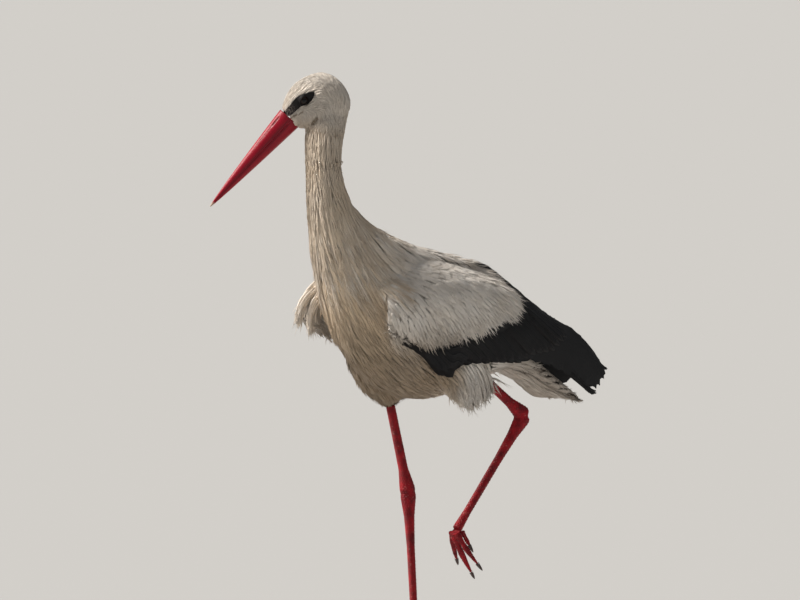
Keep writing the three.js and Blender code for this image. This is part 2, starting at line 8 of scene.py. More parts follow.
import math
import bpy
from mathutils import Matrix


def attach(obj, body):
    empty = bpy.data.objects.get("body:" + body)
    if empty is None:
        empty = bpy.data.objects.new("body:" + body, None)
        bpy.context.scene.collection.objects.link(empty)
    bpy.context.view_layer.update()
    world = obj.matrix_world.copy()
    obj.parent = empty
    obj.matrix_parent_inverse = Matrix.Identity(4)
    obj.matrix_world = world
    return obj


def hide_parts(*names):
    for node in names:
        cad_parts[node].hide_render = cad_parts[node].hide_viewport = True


bl_info = {
    "name": "White stork",
    "version": (1, 0, 0),
    "blender": (4, 5, 0),
    "location": "View3D > Sidebar > Stork",
    "description": "Builds the skin, plumage, bill, eyes and legs of a life-size white stork",
    "category": "Add Mesh",
}

import bmesh
import bpy
import numpy as np
from mathutils import Vector
from mathutils.bvhtree import BVHTree

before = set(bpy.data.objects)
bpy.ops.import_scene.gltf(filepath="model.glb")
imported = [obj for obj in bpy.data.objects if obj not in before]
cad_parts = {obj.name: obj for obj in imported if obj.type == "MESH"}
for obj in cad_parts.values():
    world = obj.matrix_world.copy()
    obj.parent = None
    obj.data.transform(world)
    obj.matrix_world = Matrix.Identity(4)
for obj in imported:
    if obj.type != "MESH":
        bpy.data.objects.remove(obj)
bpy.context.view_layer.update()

MM = 0.001
BODY = "root"

# ------------------------------
# Where things are. A place is (forward, left, up) in millimetres, as the bird itself would give it.

SHIFT_LEFT = 7.607  # the bird's own middle plane, seen from the middle of its bounding box
SHIFT_FORWARD = 7.603


def place(spots):
    """Places in the bird's own (forward, left, up), in millimetres, as points of the frame in metres."""
    spots = np.asarray(spots, float)
    return np.stack(
        [spots[..., 1] + SHIFT_LEFT, -spots[..., 0] - SHIFT_FORWARD, spots[..., 2]], axis=-1
    ) * MM


def spot(points):
    """The reverse of place()."""
    points = np.asarray(points, float) / MM
    return np.stack(
        [-points[..., 1] - SHIFT_FORWARD, points[..., 0] - SHIFT_LEFT, points[..., 2]], axis=-1
    )


def heading(directions):
    """Directions (forward, left, up) as unit vectors of the frame."""
    directions = np.asarray(directions, float)
    turned = np.stack([directions[..., 1], -directions[..., 0], directions[..., 2]], axis=-1)
    return unit(turned)


def unit(vectors):
    """Vectors with their length set to one."""
    length = np.linalg.norm(vectors, axis=-1, keepdims=True)
    return vectors / np.maximum(length, 1e-12)


# The line through the middle of the trunk and neck, from the rump to the top of the neck.
SPINE = np.array([
    (-178, 0, 440), (-165, 0, 436), (-130, 0, 436), (-80, 0, 438), (-20, 0, 444), (40, 0, 460), (88, 0, 488),
    (128, 0, 524), (160, -2, 570), (182, -5, 626), (189, -11, 680), (184, -17, 722), (182, -22, 756),
], float)

HEAD_AT = place((187, -25, 767))
HEAD_TURN = math.radians(35)
HEAD_PITCH = math.radians(47)
FACING = heading((math.cos(HEAD_TURN), -math.sin(HEAD_TURN), 0))
HEAD_AXIS = FACING * math.cos(HEAD_PITCH) - np.array((0, 0, 1)) * math.sin(HEAD_PITCH)
HEAD_LEFT = np.cross((0, 0, 1), FACING)
HEAD_OVER = np.cross(HEAD_AXIS, HEAD_LEFT)


def in_head(ahead, left, over):
    """A point given in the head's own frame, in millimetres: along the bill, to the left and over that axis."""
    point = HEAD_AT
    for distance, way in ((ahead, HEAD_AXIS), (left, HEAD_LEFT), (over, HEAD_OVER)):
        point = point + np.multiply.outer(np.asarray(distance, float), way) * MM
    return point


def head_spot(points):
    """How far along, left and over the head's axis points are, in millimetres."""
    offset = (np.asarray(points, float) - HEAD_AT) / MM
    return offset @ HEAD_AXIS, offset @ HEAD_LEFT, offset @ HEAD_OVER


# The skull's half width and height over the head's axis, at distances along it.
SKULL_ALONG = (-43, -32, -18, 0, 16, 30, 42, 49)
SKULL_WIDE = (5, 22.5, 28.5, 30, 26, 20.5, 15.5, 12.5)
SKULL_OVER = (8, 30.5, 39, 44.3, 43.8, 39.6, 34, 31)

EYE_ALONG = 10
EYE_OVER = 21
EYE_SIDE = 20.5
EYE_RADIUS = 7

# The bare black skin round the eye runs from behind it to the root of the bill: how far along the head's axis,
# and the heights of its lower and upper edge over that axis.
PATCH_ALONG = (-9, -3, 4, 10, 16, 22, 28, 34, 41)
PATCH_LOW = (18.2, 15.6, 13.8, 14.6, 17.4, 20.4, 21.4, 19.5, 18.5)
PATCH_HIGH = (18.5, 22.4, 26.2, 28.8, 29.6, 29.2, 28.2, 28.2, 27.5)

BILL_ROOT = 41
BILL_TIP = 206
GAPE_OVER = 13.6

# The way the feathers lie, given at places on the bird as (forward, left, up) and a direction. Places off the
# middle count for both sides. The trunk and neck add their own along the spine, and the head adds its own.
LIE = [
    ((150, 76, 480), (-0.45, 0.15, -0.85)),
    ((120, 80, 500), (-0.70, 0.00, -0.70)),
    ((110, 84, 450), (-0.55, 0.00, -0.83)),
    ((60, 84, 490), (-0.74, 0.00, -0.67)),
    ((60, 84, 440), (-0.60, 0.00, -0.80)),
    ((0, 82, 495), (-0.78, 0.00, -0.62)),
    ((0, 82, 450), (-0.64, 0.00, -0.77)),
    ((-50, 76, 490), (-0.82, 0.00, -0.57)),
    ((-60, 72, 455), (-0.72, 0.00, -0.69)),
    ((-110, 60, 480), (-0.84, 0.00, -0.54)),
    ((60, 58, 535), (-0.92, 0.08, -0.38)),
    ((0, 52, 530), (-0.93, 0.06, -0.36)),
    ((-60, 44, 515), (-0.92, 0.04, -0.38)),
    ((-120, 30, 500), (-0.90, 0.00, -0.42)),
    ((-170, 20, 375), (-0.93, 0.00, -0.36)),
    ((-250, 20, 340), (-0.95, 0.00, -0.30)),
]
LIE_RIGHT_THIGH = [((74, -40, 400), (-0.30, 0.05, -0.95)), ((55, -34, 350), (-0.30, 0.08, -0.95))]
LIE_LEFT_THIGH = [
    ((50, 52, 400), (-0.80, 0.00, -0.60)),
    ((0, 52, 385), (-0.72, 0.00, -0.70)),
    ((-30, 42, 360), (-0.62, 0.00, -0.78)),
    ((-60, 42, 350), (-0.66, 0.00, -0.75)),
]
LIE_SPREAD = 16 * MM  # how far a place's direction reaches before its neighbours' mix in
HEAD_SPREAD = 7 * MM
# The same for the head: along, left and over its axis, how far back along the axis the feathers lie there, and
# how far down the neck.
HEAD_LIE = (
    (44, 0, 34, 1, 0), (30, 14, 34, 1, 0), (30, 16, 14, 1, 0), (42, 12, 10, 1, 0), (16, 0, 46, 1, 0),
    (10, 22, 34, 1, 0.05), (10, 26, 10, 1, 0.1), (0, 0, 46, 1, 0.1), (-10, 28, 24, 1, 0.35),
    (0, 28, 2, 0.9, 0.45), (-20, 0, 40, 0.8, 0.6), (-25, 24, 10, 0.5, 0.9), (-40, 0, 20, 0.1, 1),
    (-44, 0, 0, 0, 1), (26, 12, -6, 1, 0.25), (14, 12, -20, 0.7, 0.7), (0, 20, -26, 0.4, 1),
    (-30, 12, -25, 0, 1),
)

# ------------------------------
# Colours, linear

WHITE_FEATHER = (0.83, 0.785, 0.73)
CREAM_FEATHER = (0.74, 0.585, 0.415)
# Painted shade and dirt: the dark brown that feathers are mixed towards between their locks, at their roots,
# where barbs part, under the body, tail and wing bend, and where rust and mud are.
SHADE_AND_DIRT_FEATHER = (0.29, 0.215, 0.145)
BLACK_FEATHER = (0.004, 0.004, 0.005)
BARE_SKIN = (0.005, 0.0045, 0.0045)
RED_BILL = (0.42, 0.003, 0.020)
RED_LEG = (0.40, 0.006, 0.014)


def colour_setting(name, description, default):
    """A colour that a user may change."""
    return bpy.props.FloatVectorProperty(
        name=name, description=description, default=default, subtype="COLOR", size=3, min=0, max=1,
    )


def length_setting(name, description, default, least, most):
    """A length that a user may change, given in millimetres."""
    return bpy.props.FloatProperty(
        name=name, description=description, default=default * MM, unit="LENGTH", min=least * MM, max=most * MM,
    )


class StorkSizes(bpy.types.PropertyGroup):
    """What a user would change about the bird."""

    white: colour_setting("White feathers", "Colour of the back and wings", WHITE_FEATHER)
    cream: colour_setting("Cream feathers", "Colour of the neck and breast", CREAM_FEATHER)
    # The colour that painted shade and dirt mix the feathers towards.
    shade_and_dirt: colour_setting("Feather shade and dirt", "Colour between the locks of feathers", SHADE_AND_DIRT_FEATHER)
    black: colour_setting("Flight feathers", "Colour of the flight feathers", BLACK_FEATHER)
    bill: colour_setting("Bill", "Colour of the bill", RED_BILL)
    leg: colour_setting("Legs", "Colour of the legs", RED_LEG)
    skin_voxel: length_setting("Skin detail", "Size of the skin's facets on the trunk", 3.6, 2, 8)
    head_voxel: length_setting("Head detail", "Size of the skin's facets on the head", 1.5, 1, 4)
    leg_voxel: length_setting("Leg detail", "Size of the skin's facets on the legs", 1.2, 0.8, 3)
    scute: length_setting("Leg scale", "Distance between the scales of the legs", 3.0, 2, 6)


def sizes():
    """The sizes and colours in use."""
    return bpy.context.scene.stork


# ------------------------------
# Meshes


def new_object(name, mesh):
    """An object at the origin that shows a mesh."""
    made = bpy.data.objects.new(name, mesh)
    bpy.context.scene.collection.objects.link(made)
    return made


def drop(*objects):
    """Removes objects and the meshes that only they use."""
    for thing in objects:
        mesh = thing.data
        bpy.data.objects.remove(thing)
        if mesh is not None and mesh.users == 0:
            bpy.data.meshes.remove(mesh)


def read(items, name, width=1, kind=float):
    """A property of all the points, edges or faces of a mesh, one row for each."""
    values = np.empty(len(items) * width, kind)
    items.foreach_get(name, values)
    return values.reshape(-1, width) if width > 1 else values


def write(items, name, values, kind=np.float32):
    """Sets a property of all the points, edges or faces of a mesh."""
    items.foreach_set(name, np.ascontiguousarray(values, kind).ravel())


def smooth(mesh):
    """Shades all the faces of a mesh smooth."""
    write(mesh.polygons, "use_smooth", np.full(len(mesh.polygons), True), bool)


def quad_mesh(name, points, quads):
    """A mesh from arrays of points and of four-cornered faces."""
    mesh = bpy.data.meshes.new(name)
    mesh.vertices.add(len(points))
    write(mesh.vertices, "co", points)
    mesh.loops.add(4 * len(quads))
    write(mesh.loops, "vertex_index", quads, np.int32)
    mesh.polygons.add(len(quads))
    write(mesh.polygons, "loop_start", np.arange(0, 4 * len(quads), 4), np.int32)
    mesh.update(calc_edges=True)
    smooth(mesh)
    return mesh


def float_attribute(mesh, name, values):
    """Stores one number for each point of a mesh."""
    layer = mesh.attributes.get(name) or mesh.attributes.new(name, "FLOAT", "POINT")
    write(layer.data, "value", values)


def uv_layer(mesh, name, values):
    """Stores a UV map given at the points of a mesh."""
    layer = mesh.uv_layers.get(name) or mesh.uv_layers.new(name=name)
    write(layer.data, "uv", values[read(mesh.loops, "vertex_index", 1, np.int32)])


def merged(name, nodes):
    """A mesh with the shapes of some CAD nodes, each closed and with its doubles merged."""
    shell = bmesh.new()
    for node in nodes:
        shell.from_mesh(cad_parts[node].data)
    bmesh.ops.remove_doubles(shell, verts=shell.verts, dist=1e-6)
    mesh = bpy.data.meshes.new(name)
    shell.to_mesh(mesh)
    shell.free()
    return mesh


def evaluated_mesh(thing):
    """What an object's modifiers make of it, as a plain mesh."""
    graph = bpy.context.evaluated_depsgraph_get()
    return bpy.data.meshes.new_from_object(thing.evaluated_get(graph))


def remeshed(name, mesh, voxel):
    """One closed skin round all that a mesh holds."""
    source = new_object(name + " source", mesh)
    remesh = source.modifiers.new("Remesh", "REMESH")
    remesh.mode = "VOXEL"
    remesh.voxel_size = voxel
    made = evaluated_mesh(source)
    made.name = name
    drop(source)
    return made


def joined(name, first, second):
    """Two closed meshes made one."""
    base = new_object(name + " base", first)
    other = new_object(name + " other", second)
    union = base.modifiers.new("Union", "BOOLEAN")
    union.operation = "UNION"
    union.solver = "MANIFOLD"
    union.object = other
    made = evaluated_mesh(base)
    made.name = name
    drop(base, other)
    return made


def points_of(mesh):
    """Points and normals of a mesh, as arrays."""
    return read(mesh.vertices, "co", 3), read(mesh.vertices, "normal", 3)


def set_points(mesh, points):
    """Moves the points of a mesh."""
    write(mesh.vertices, "co", points)
    mesh.update()


def edges_of(mesh):
    """The two points of every edge of a mesh."""
    return read(mesh.edges, "vertices", 2, np.int32)


def triangles_of(mesh):
    """The three points of every triangle of a mesh."""
    mesh.calc_loop_triangles()
    return read(mesh.loop_triangles, "vertices", 3, np.int32)


def averaged(values, edges, rounds, share=0.5):
    """Values at points, each drawn towards the mean of its neighbours, as many times as rounds says."""
    values = np.array(values, float)
    count = np.zeros(len(values))
    np.add.at(count, edges.ravel(), 1)
    count = np.maximum(count, 1)
    for _ in range(rounds):
        total = np.zeros_like(values)
        np.add.at(total, edges[:, 0], values[edges[:, 1]])
        np.add.at(total, edges[:, 1], values[edges[:, 0]])
        mean = total / (count[:, None] if values.ndim > 1 else count)
        values += share * (mean - values)
    return values


TRIES = 3.0  # how many points are thrown on a surface for each cell as wide as their spacing


class Ground:
    """A surface that can be asked for the nearest point, the normal there and what is stored there."""

    def __init__(self, mesh):
        self.triangles = triangles_of(mesh)
        self.points, self.normals = points_of(mesh)
        self.tree = BVHTree.FromPolygons(self.points.tolist(), self.triangles.tolist())

    def nearest(self, points):
        """The nearest points of the surface, the smooth normals there and the faces they are on."""
        count = len(points)
        found = np.empty((count, 3))
        faces = np.empty(count, np.int32)
        search = self.tree.find_nearest
        for i, point in enumerate(points.tolist()):
            hit, _, face, _ = search(point)
            found[i] = hit
            faces[i] = face
        return found, self.normal_at(found, faces), faces

    def normal_at(self, points, faces):
        """Normals mixed from the corners of the faces that the points lie on."""
        corners = self.normals[self.triangles[faces]]
        return unit(np.einsum("ij,ijk->ik", self.weights(points, faces), corners))

    def weights(self, points, faces):
        """The share of each corner of a face in a point on it."""
        a, b, c = (self.points[self.triangles[faces, k]] for k in range(3))
        whole = np.cross(b - a, c - a)
        area = np.maximum((whole * whole).sum(-1), 1e-20)
        of_b = (np.cross(points - a, c - a) * whole).sum(-1) / area
        of_c = (np.cross(b - a, points - a) * whole).sum(-1) / area
        mix = np.clip(np.stack([1 - of_b - of_c, of_b, of_c], -1), 0, 1)
        return mix / mix.sum(-1, keepdims=True)

    def value_at(self, values, points, faces):
        """A value stored at the surface's points, read anywhere on it."""
        return (self.weights(points, faces) * values[self.triangles[faces]]).sum(-1)

    def open_room(self, points, normals, lift, reach):
        """How far a point can go outwards before it meets the surface again, up to reach."""
        room = np.full(len(points), reach)
        cast = self.tree.ray_cast
        starts = (points + normals * lift).tolist()
        for i, (start, normal) in enumerate(zip(starts, normals.tolist())):
            hit = cast(start, normal, reach)
            if hit[0] is not None:
                room[i] = hit[3]
        return room

    def scatter(self, faces, spacing, seed):
        """Points spread evenly over some faces, about `spacing` apart."""
        a, b, c = (self.points[self.triangles[faces, k]] for k in range(3))
        area = np.linalg.norm(np.cross(b - a, c - a), axis=-1) / 2
        dice = np.random.default_rng(seed)
        count = int(area.sum() / spacing**2 * TRIES)
        pick = dice.choice(len(area), count, p=area / area.sum())
        u, v = dice.random(count), dice.random(count)
        fold = u + v > 1
        u[fold], v[fold] = 1 - u[fold], 1 - v[fold]
        points = a[pick] + (b - a)[pick] * u[:, None] + (c - a)[pick] * v[:, None]
        return points[thinned(points, spacing)]


def thinned(points, spacing):
    """Indices of points of which no two are closer than the spacing."""
    grid = {}
    kept = []
    limit = spacing * spacing
    near = [(i, j, k) for i in (-1, 0, 1) for j in (-1, 0, 1) for k in (-1, 0, 1)]
    keys = np.floor(points / spacing).astype(int).tolist()
    for index, ((i, j, k), (x, y, z)) in enumerate(zip(keys, points.tolist())):
        others = (other for di, dj, dk in near for other in grid.get((i + di, j + dj, k + dk), ()))
        if all((px - x) ** 2 + (py - y) ** 2 + (pz - z) ** 2 >= limit for px, py, pz in others):
            grid.setdefault((i, j, k), []).append((x, y, z))
            kept.append(index)
    return np.array(kept, int)


# ------------------------------
# The bird's own map: tracts, the spine, the lie of the feathers and the markings

FLESH = sorted(
    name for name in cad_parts
    if name.startswith(("trunk", "neck", "head", "thigh", "tail", "wing", "shank", "tarsus", "toe"))
)
LEG_NODES = [name for name in FLESH if name.startswith(("shank", "tarsus", "toe"))]
BODY_NODES = [name for name in FLESH if name not in LEG_NODES]
HEAD_NODES = ["head", "neck_upper"]

TRUNK, NECK, HEAD, RIGHT_THIGH, LEFT_THIGH, TAIL, COVERTS, FLIGHT, LEG = range(9)
# Thickness of the plumage over the skin, for each tract, in millimetres. The neck's gets less along the spine.
COAT_DEPTH = {
    TRUNK: 6.5, NECK: 3.4, HEAD: 1.7, RIGHT_THIGH: 5.0, LEFT_THIGH: 6.0, TAIL: 4.0, COVERTS: 4.5, FLIGHT: 3.0,
    LEG: 0.35,
}
NECK_DEPTH = ((330, 420, 500, 560), (6.0, 4.4, 3.2, 2.4))


def tract_of(node):
    """The tract of feathers that a CAD node belongs to."""
    if node.startswith("wing"):
        return COVERTS if node.endswith("coverts") else FLIGHT
    if node.startswith("thigh"):
        return RIGHT_THIGH if "right" in node else LEFT_THIGH
    if node in LEG_NODES:
        return LEG
    return {"trunk": TRUNK, "tail": TAIL, "head": HEAD}.get(node, NECK)


# The lower edge of the white part of the left folded wing, from the bend of the wing to the back, and the rear
# edge of the long feathers of the shoulder.
COVERT_EDGE = np.array([
    (130, 76, 440), (100, 79, 430), (50, 82, 429), (0, 80, 438), (-50, 72, 448), (-95, 61, 458),
    (-136, 38, 466),
], float)
SHOULDER_EDGE = np.array([
    (-137, 36, 466), (-130, 28, 483), (-119, 20, 500), (-106, 9, 518), (-99, 1, 527),
], float)
RUMP = (-98, 462, 42)  # the back is black behind this, above this and this far to each side


def ahead_of_black(where):
    """Which places, in the bird's own frame, are above and ahead of the black feathers."""
    low = np.interp(where[:, 0], COVERT_EDGE[::-1, 0], COVERT_EDGE[::-1, 2])
    rear = np.interp(where[:, 2], SHOULDER_EDGE[:, 2], SHOULDER_EDGE[:, 0])
    return (where[:, 2] > low) & (where[:, 0] > rear)


class Outline:
    """The CAD flesh, asked for the tract of the nearest place on it."""

    def __init__(self):
        points, faces, tracts = [], [], []
        for node in FLESH:
            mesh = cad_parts[node].data
            corners = triangles_of(mesh)
            faces += (corners + len(points)).tolist()
            points += points_of(mesh)[0].tolist()
            tracts += [tract_of(node)] * len(corners)
        self.tree = BVHTree.FromPolygons(points, faces)
        self.tracts = np.array(tracts)

    def tract(self, points):
        """The tracts of places near the outline, with the wings and rump parted into white and black."""
        search = self.tree.find_nearest
        tracts = self.tracts[[search(point)[2] for point in points.tolist()]]
        where = spot(points)
        white = ahead_of_black(where)
        wing = (tracts == COVERTS) | (tracts == FLIGHT)
        rump = (where[:, 0] < RUMP[0]) & (where[:, 2] > RUMP[1]) & (np.abs(where[:, 1]) < RUMP[2])
        tracts = np.where(wing, np.where(white, COVERTS, FLIGHT), tracts)
        return np.where((tracts == TRUNK) & rump & ~white, FLIGHT, tracts)


def spine_curve(samples=240):
    """Points and directions close together along the spine, with the distance run along it."""
    t = np.linspace(0, len(SPINE) - 1, samples)
    keys = np.arange(len(SPINE))
    line = np.stack([np.interp(t, keys, SPINE[:, k]) for k in range(3)], -1)
    for _ in range(6):
        line[1:-1] = 0.5 * line[1:-1] + 0.25 * (line[:-2] + line[2:])
    line = place(line)
    ahead = unit(np.gradient(line, axis=0))
    run = np.concatenate([[0], np.cumsum(np.linalg.norm(np.diff(line, axis=0), axis=-1))])
    return line, ahead, run


SPINE_LINE, SPINE_AHEAD, SPINE_RUN = spine_curve()


def on_spine(points):
    """How far along the spine points are, in millimetres, and their angle round it, 0 on top and pi below."""
    gap = ((points[:, None, :] - SPINE_LINE[None]) ** 2).sum(-1)
    nearest = gap.argmin(1)
    offset = points - SPINE_LINE[nearest]
    # At the neck the spine is upright, so the bird's own left is used all along.
    across = unit(np.array((1.0, 0, 0)) - SPINE_AHEAD[nearest] * SPINE_AHEAD[nearest][:, :1])
    over = np.cross(across, SPINE_AHEAD[nearest])
    over *= np.sign(over[:, 2] + over[:, 1] * 0.3)[:, None]
    return SPINE_RUN[nearest] / MM, np.arctan2((offset * across).sum(-1), (offset * over).sum(-1))


SPINE_STEP = 12  # how many of the spine's points there are from one that tells the lie to the next
BESIDE_SPINE = (-45, 0, 45)  # how far over the spine its lie is told, where the body is of common size
BODY_SIZE = ((0, 300, 400, 600), (1, 1.6, 0.9, 0.4))


def lie_samples():
    """All the places and directions that tell how the feathers lie, with how far each one reaches."""
    samples = []
    for where, way in LIE:
        for side in (1, -1):
            mirror = (1, side, 1)
            samples.append((place(np.multiply(where, mirror)), heading(np.multiply(way, mirror)), LIE_SPREAD))
    for where, way in LIE_RIGHT_THIGH + LIE_LEFT_THIGH:
        samples.append((place(where), heading(way), LIE_SPREAD))
    for i in range(0, len(SPINE_LINE), SPINE_STEP):
        size = np.interp(SPINE_RUN[i] / MM, *BODY_SIZE)
        over = unit(np.cross((1, 0, 0), SPINE_AHEAD[i]))
        for lift in BESIDE_SPINE:
            samples.append((SPINE_LINE[i] + over * lift * size * MM, -SPINE_AHEAD[i], LIE_SPREAD))
    down = -SPINE_AHEAD[-1]
    for ahead, left, over, back, droop in HEAD_LIE:
        way = unit(-HEAD_AXIS * back + down * droop)
        for side in (1, -1) if left else (1,):
            samples.append((in_head(ahead, side * left, over), way, HEAD_SPREAD))
    return [np.array(column) for column in zip(*samples)]


LIE_PLACES, LIE_WAYS, LIE_REACH = lie_samples()
BATCH = 4000  # how many points are worked out at once


def lie_at(points):
    """The way the feathers lie near points, not yet turned into the surface there."""
    ways = np.empty_like(points)
    for start in range(0, len(points), BATCH):
        part = points[start:start + BATCH]
        gap = ((part[:, None, :] - LIE_PLACES[None]) ** 2).sum(-1)
        weight = (LIE_REACH[None] ** 2 / (gap + LIE_REACH[None] ** 2)) ** 2.5
        ways[start:start + BATCH] = unit(weight @ LIE_WAYS)
    return ways


def flattened(vectors, normals):
    """Directions turned into the surface that has these normals."""
    return unit(vectors - normals * (vectors * normals).sum(-1, keepdims=True))


def ramp(values, low, high):
    """0 up to low, 1 from high on, and smooth between them."""
    t = np.clip((np.asarray(values, float) - low) / (high - low), 0, 1)
    return t * t * (3 - 2 * t)


def within(where, share, *limits):
    """A share inside some limits, 0 outside them. Each is an axis and where its ramp starts and ends."""
    for axis, start, end in limits:
        share = share * ramp(where[..., axis], start, end)
    return share


MIDLINE = 4  # the face's markings stop this far from its middle plane
FACE_REACH = 60


def bare_patch(points):
    """How deep inside the bare skin of the face points are, in millimetres, and less than 0 outside it."""
    ahead, left, over = head_spot(points)
    low = np.interp(ahead, PATCH_ALONG, PATCH_LOW)
    high = np.interp(ahead, PATCH_ALONG, PATCH_HIGH)
    inside = np.minimum(np.minimum(over - low, high - over), ahead - PATCH_ALONG[0])
    near = (np.abs(left) > MIDLINE) & (np.abs(over) < FACE_REACH) & (np.abs(ahead) < FACE_REACH)
    return np.where(near, inside, -50)


# Rusty marks on the side of the head, each a line from one place to another (along, over) and its half width.
STAINS = (((37, 15.2), (23, 10.6), 1.3), ((17, -10), (25, -11.5), 2.4))


def stain(points):
    """How rusty the feathers of the face are: a thin line behind the gape and a spot under the cheek."""
    ahead, left, over = head_spot(points)
    here = np.stack([ahead, over], -1)
    most = np.zeros(ahead.shape)
    for start, end, half in STAINS:
        way = np.subtract(end, start).astype(float)
        share = np.clip((here - start) @ way / (way @ way), 0, 1)
        away = np.linalg.norm(here - start - share[..., None] * way, axis=-1)
        most = np.maximum(most, 1 - ramp(away, half * 0.5, half * 1.6))
    return most * (np.abs(left) > MIDLINE)


FORWARD, LEFT, UP = range(3)
LEAST_CREAM = 0.16
# Where the feathers are painted brown: painted shade under the belly, the standing thigh, the tail and the bend
# of the left wing, and partly mud on the belly. How brown, and the limits of the place.
SHADED_AND_SOILED = (
    (0.84, (UP, 468, 400), (FORWARD, -20, 25)),  # the belly
    (0.10, (UP, 400, 350), (FORWARD, 0, 40)),  # the standing thigh
    (0.50, (UP, 405, 365), (FORWARD, -105, -150)),  # under the tail
    (0.16, (UP, 480, 440), (FORWARD, 60, 130), (LEFT, 50, 75)),  # under the bend of the left wing
)


def creaminess(points):
    """How creamy the feathers are: most on the neck, breast and belly, least on the back and wings."""
    where = spot(points)
    breast = within(where, 1.0, (FORWARD, 60, 150), (UP, 640, 520)) * ramp(np.abs(where[..., LEFT]), 68, 38)
    neck = within(where, 0.72, (UP, 540, 620))
    belly = within(where, 1.0, (UP, 450, 390), (FORWARD, -20, 60)) * 0.9
    head = within(where, 0.42, (UP, 715, 765))
    return np.clip(np.maximum(np.maximum(breast, neck), belly) - head, LEAST_CREAM, 1)


def shade_and_soil(points):
    """How brown the feathers are painted: painted shade under the belly, standing thigh, tail and bend of the
    left wing, and partly mud on the belly.
    """
    where = spot(points)
    return sum(within(where, *patch) for patch in SHADED_AND_SOILED)


# ------------------------------
# Shader pieces


class Nodes:
    """Adds nodes to a tree and joins them, so that a material reads from top to bottom."""

    def __init__(self, tree):
        self.tree = tree

    def add(self, kind, inputs=None, **settings):
        node = self.tree.nodes.new(kind)
        for name, value in settings.items():
            setattr(node, name, value)
        return self.fill(node, inputs or {})

    def fill(self, node, inputs):
        for name, value in inputs.items():
            self.feed(node.inputs[name], value)
        return node

    def feed(self, socket, value):
        if isinstance(value, bpy.types.NodeSocket):
            self.tree.links.new(value, socket)
        else:
            socket.default_value = value

    def math(self, operation, a, b=0.0, clamp=False):
        return self.add("ShaderNodeMath", {0: a, 1: b}, operation=operation, use_clamp=clamp).outputs[0]

    def times(self, a, b, clamp=False):
        return self.math("MULTIPLY", a, b, clamp)

    def plus(self, a, b, clamp=False):
        return self.math("ADD", a, b, clamp)

    def minus(self, a, b, clamp=False):
        return self.math("SUBTRACT", a, b, clamp)

    def attribute(self, name):
        return self.add("ShaderNodeAttribute", attribute_name=name).outputs["Fac"]

    def mix(self, share, a, b, how="MIX"):
        node = self.add("ShaderNodeMix", data_type="RGBA", blend_type=how)
        return self.fill(node, {0: share, 6: a, 7: b}).outputs[2]

    def ramp(self, value, *stops):
        """A colour ramp with two stops, each a place and a colour."""
        node = self.add("ShaderNodeValToRGB", {0: value})
        for element, (where, colour) in zip(node.color_ramp.elements, stops):
            element.position = where
            element.color = solid(colour)
        return node.outputs[0]

    def rise(self, value, low, high):
        """0 up to low and 1 from high on."""
        return self.ramp(value, (low, (0, 0, 0)), (high, (1, 1, 1)))

    def noise(self, scale, detail=3.0, rough=0.55, vector=None, stretch=None):
        vector = vector or self.add("ShaderNodeTexCoord").outputs["Object"]
        if stretch:
            vector = self.add("ShaderNodeMapping", {0: vector, 3: stretch}).outputs[0]
        inputs = {"Vector": vector, "Scale": scale, "Detail": detail, "Roughness": rough}
        return self.add("ShaderNodeTexNoise", inputs).outputs[0]

    def bump(self, height, distance, strength):
        inputs = {"Height": height, "Distance": distance, "Strength": strength}
        return self.add("ShaderNodeBump", inputs).outputs[0]

    def group(self, tree, inputs=None):
        return self.add("ShaderNodeGroup", inputs, node_tree=tree)


def solid(colour):
    """A colour with its alpha."""
    return tuple(colour) if len(colour) == 4 else (*colour, 1.0)


def darker(colour, red, green, blue):
    """A colour with each of its channels reduced."""
    return (colour[0] * red, colour[1] * green, colour[2] * blue, 1)


def new_material(name):
    """An empty material, the tools for its nodes, and its shader."""
    material = bpy.data.materials.new(name)
    material.use_nodes = True
    material.node_tree.nodes.clear()
    nodes = Nodes(material.node_tree)
    shader = nodes.add("ShaderNodeBsdfPrincipled")
    nodes.add("ShaderNodeOutputMaterial", {0: shader.outputs[0]})
    return material, nodes, shader


def node_group(name, inputs, outputs):
    """An empty group with named sockets: its tree, tools, input node and output node."""
    tree = bpy.data.node_groups.new(name, "ShaderNodeTree")
    for label, kind, default in inputs:
        socket = tree.interface.new_socket(label, in_out="INPUT", socket_type=kind)
        socket.default_value = default
    for label, kind in outputs:
        tree.interface.new_socket(label, in_out="OUTPUT", socket_type=kind)
    nodes = Nodes(tree)
    return tree, nodes, nodes.add("NodeGroupInput"), nodes.add("NodeGroupOutput")


def barb_group():
    """Fine barbs that run out from a feather's shaft towards its tip, read from its own Vane map."""
    found = bpy.data.node_groups.get("Feather barbs")
    if found:
        return found
    number = "NodeSocketFloat"
    tree, nodes, given, out = node_group(
        "Feather barbs", [("Barbs", number, 60.0), ("Slant", number, 1.4), ("Split", number, 0.5)],
        [("Height", number), ("Gap", number)],
    )
    vane = nodes.add("ShaderNodeUVMap", uv_map="Vane").outputs[0]
    parts = nodes.add("ShaderNodeSeparateXYZ", {0: vane})
    across = nodes.math("ABSOLUTE", nodes.minus(parts.outputs[0], 0.5))
    wander = nodes.noise(9.0, 2.0, 0.5, vector=vane)
    slanted = nodes.minus(parts.outputs[1], nodes.times(across, given.outputs["Slant"]))
    slanted = nodes.plus(slanted, nodes.times(wander, 0.06))
    turns = nodes.times(given.outputs["Barbs"], 6.283)
    wave = nodes.math("SINE", nodes.times(slanted, turns))
    shaft = nodes.minus(1.0, nodes.times(across, 22.0), clamp=True)
    fine = nodes.times(nodes.plus(wave, 1.0), 0.35)
    height = nodes.plus(fine, nodes.times(shaft, 1.4))
    strip = nodes.add("ShaderNodeCombineXYZ", {0: slanted, 1: 0.0, 2: 0.0}).outputs[0]
    split = nodes.noise(26.0, 1.0, 0.5, vector=strip)
    gap = nodes.times(nodes.minus(0.42, split, clamp=True), 6.0, clamp=True)
    gap = nodes.times(gap, given.outputs["Split"])
    nodes.fill(out, {"Height": nodes.minus(height, gap), "Gap": gap})
    return tree


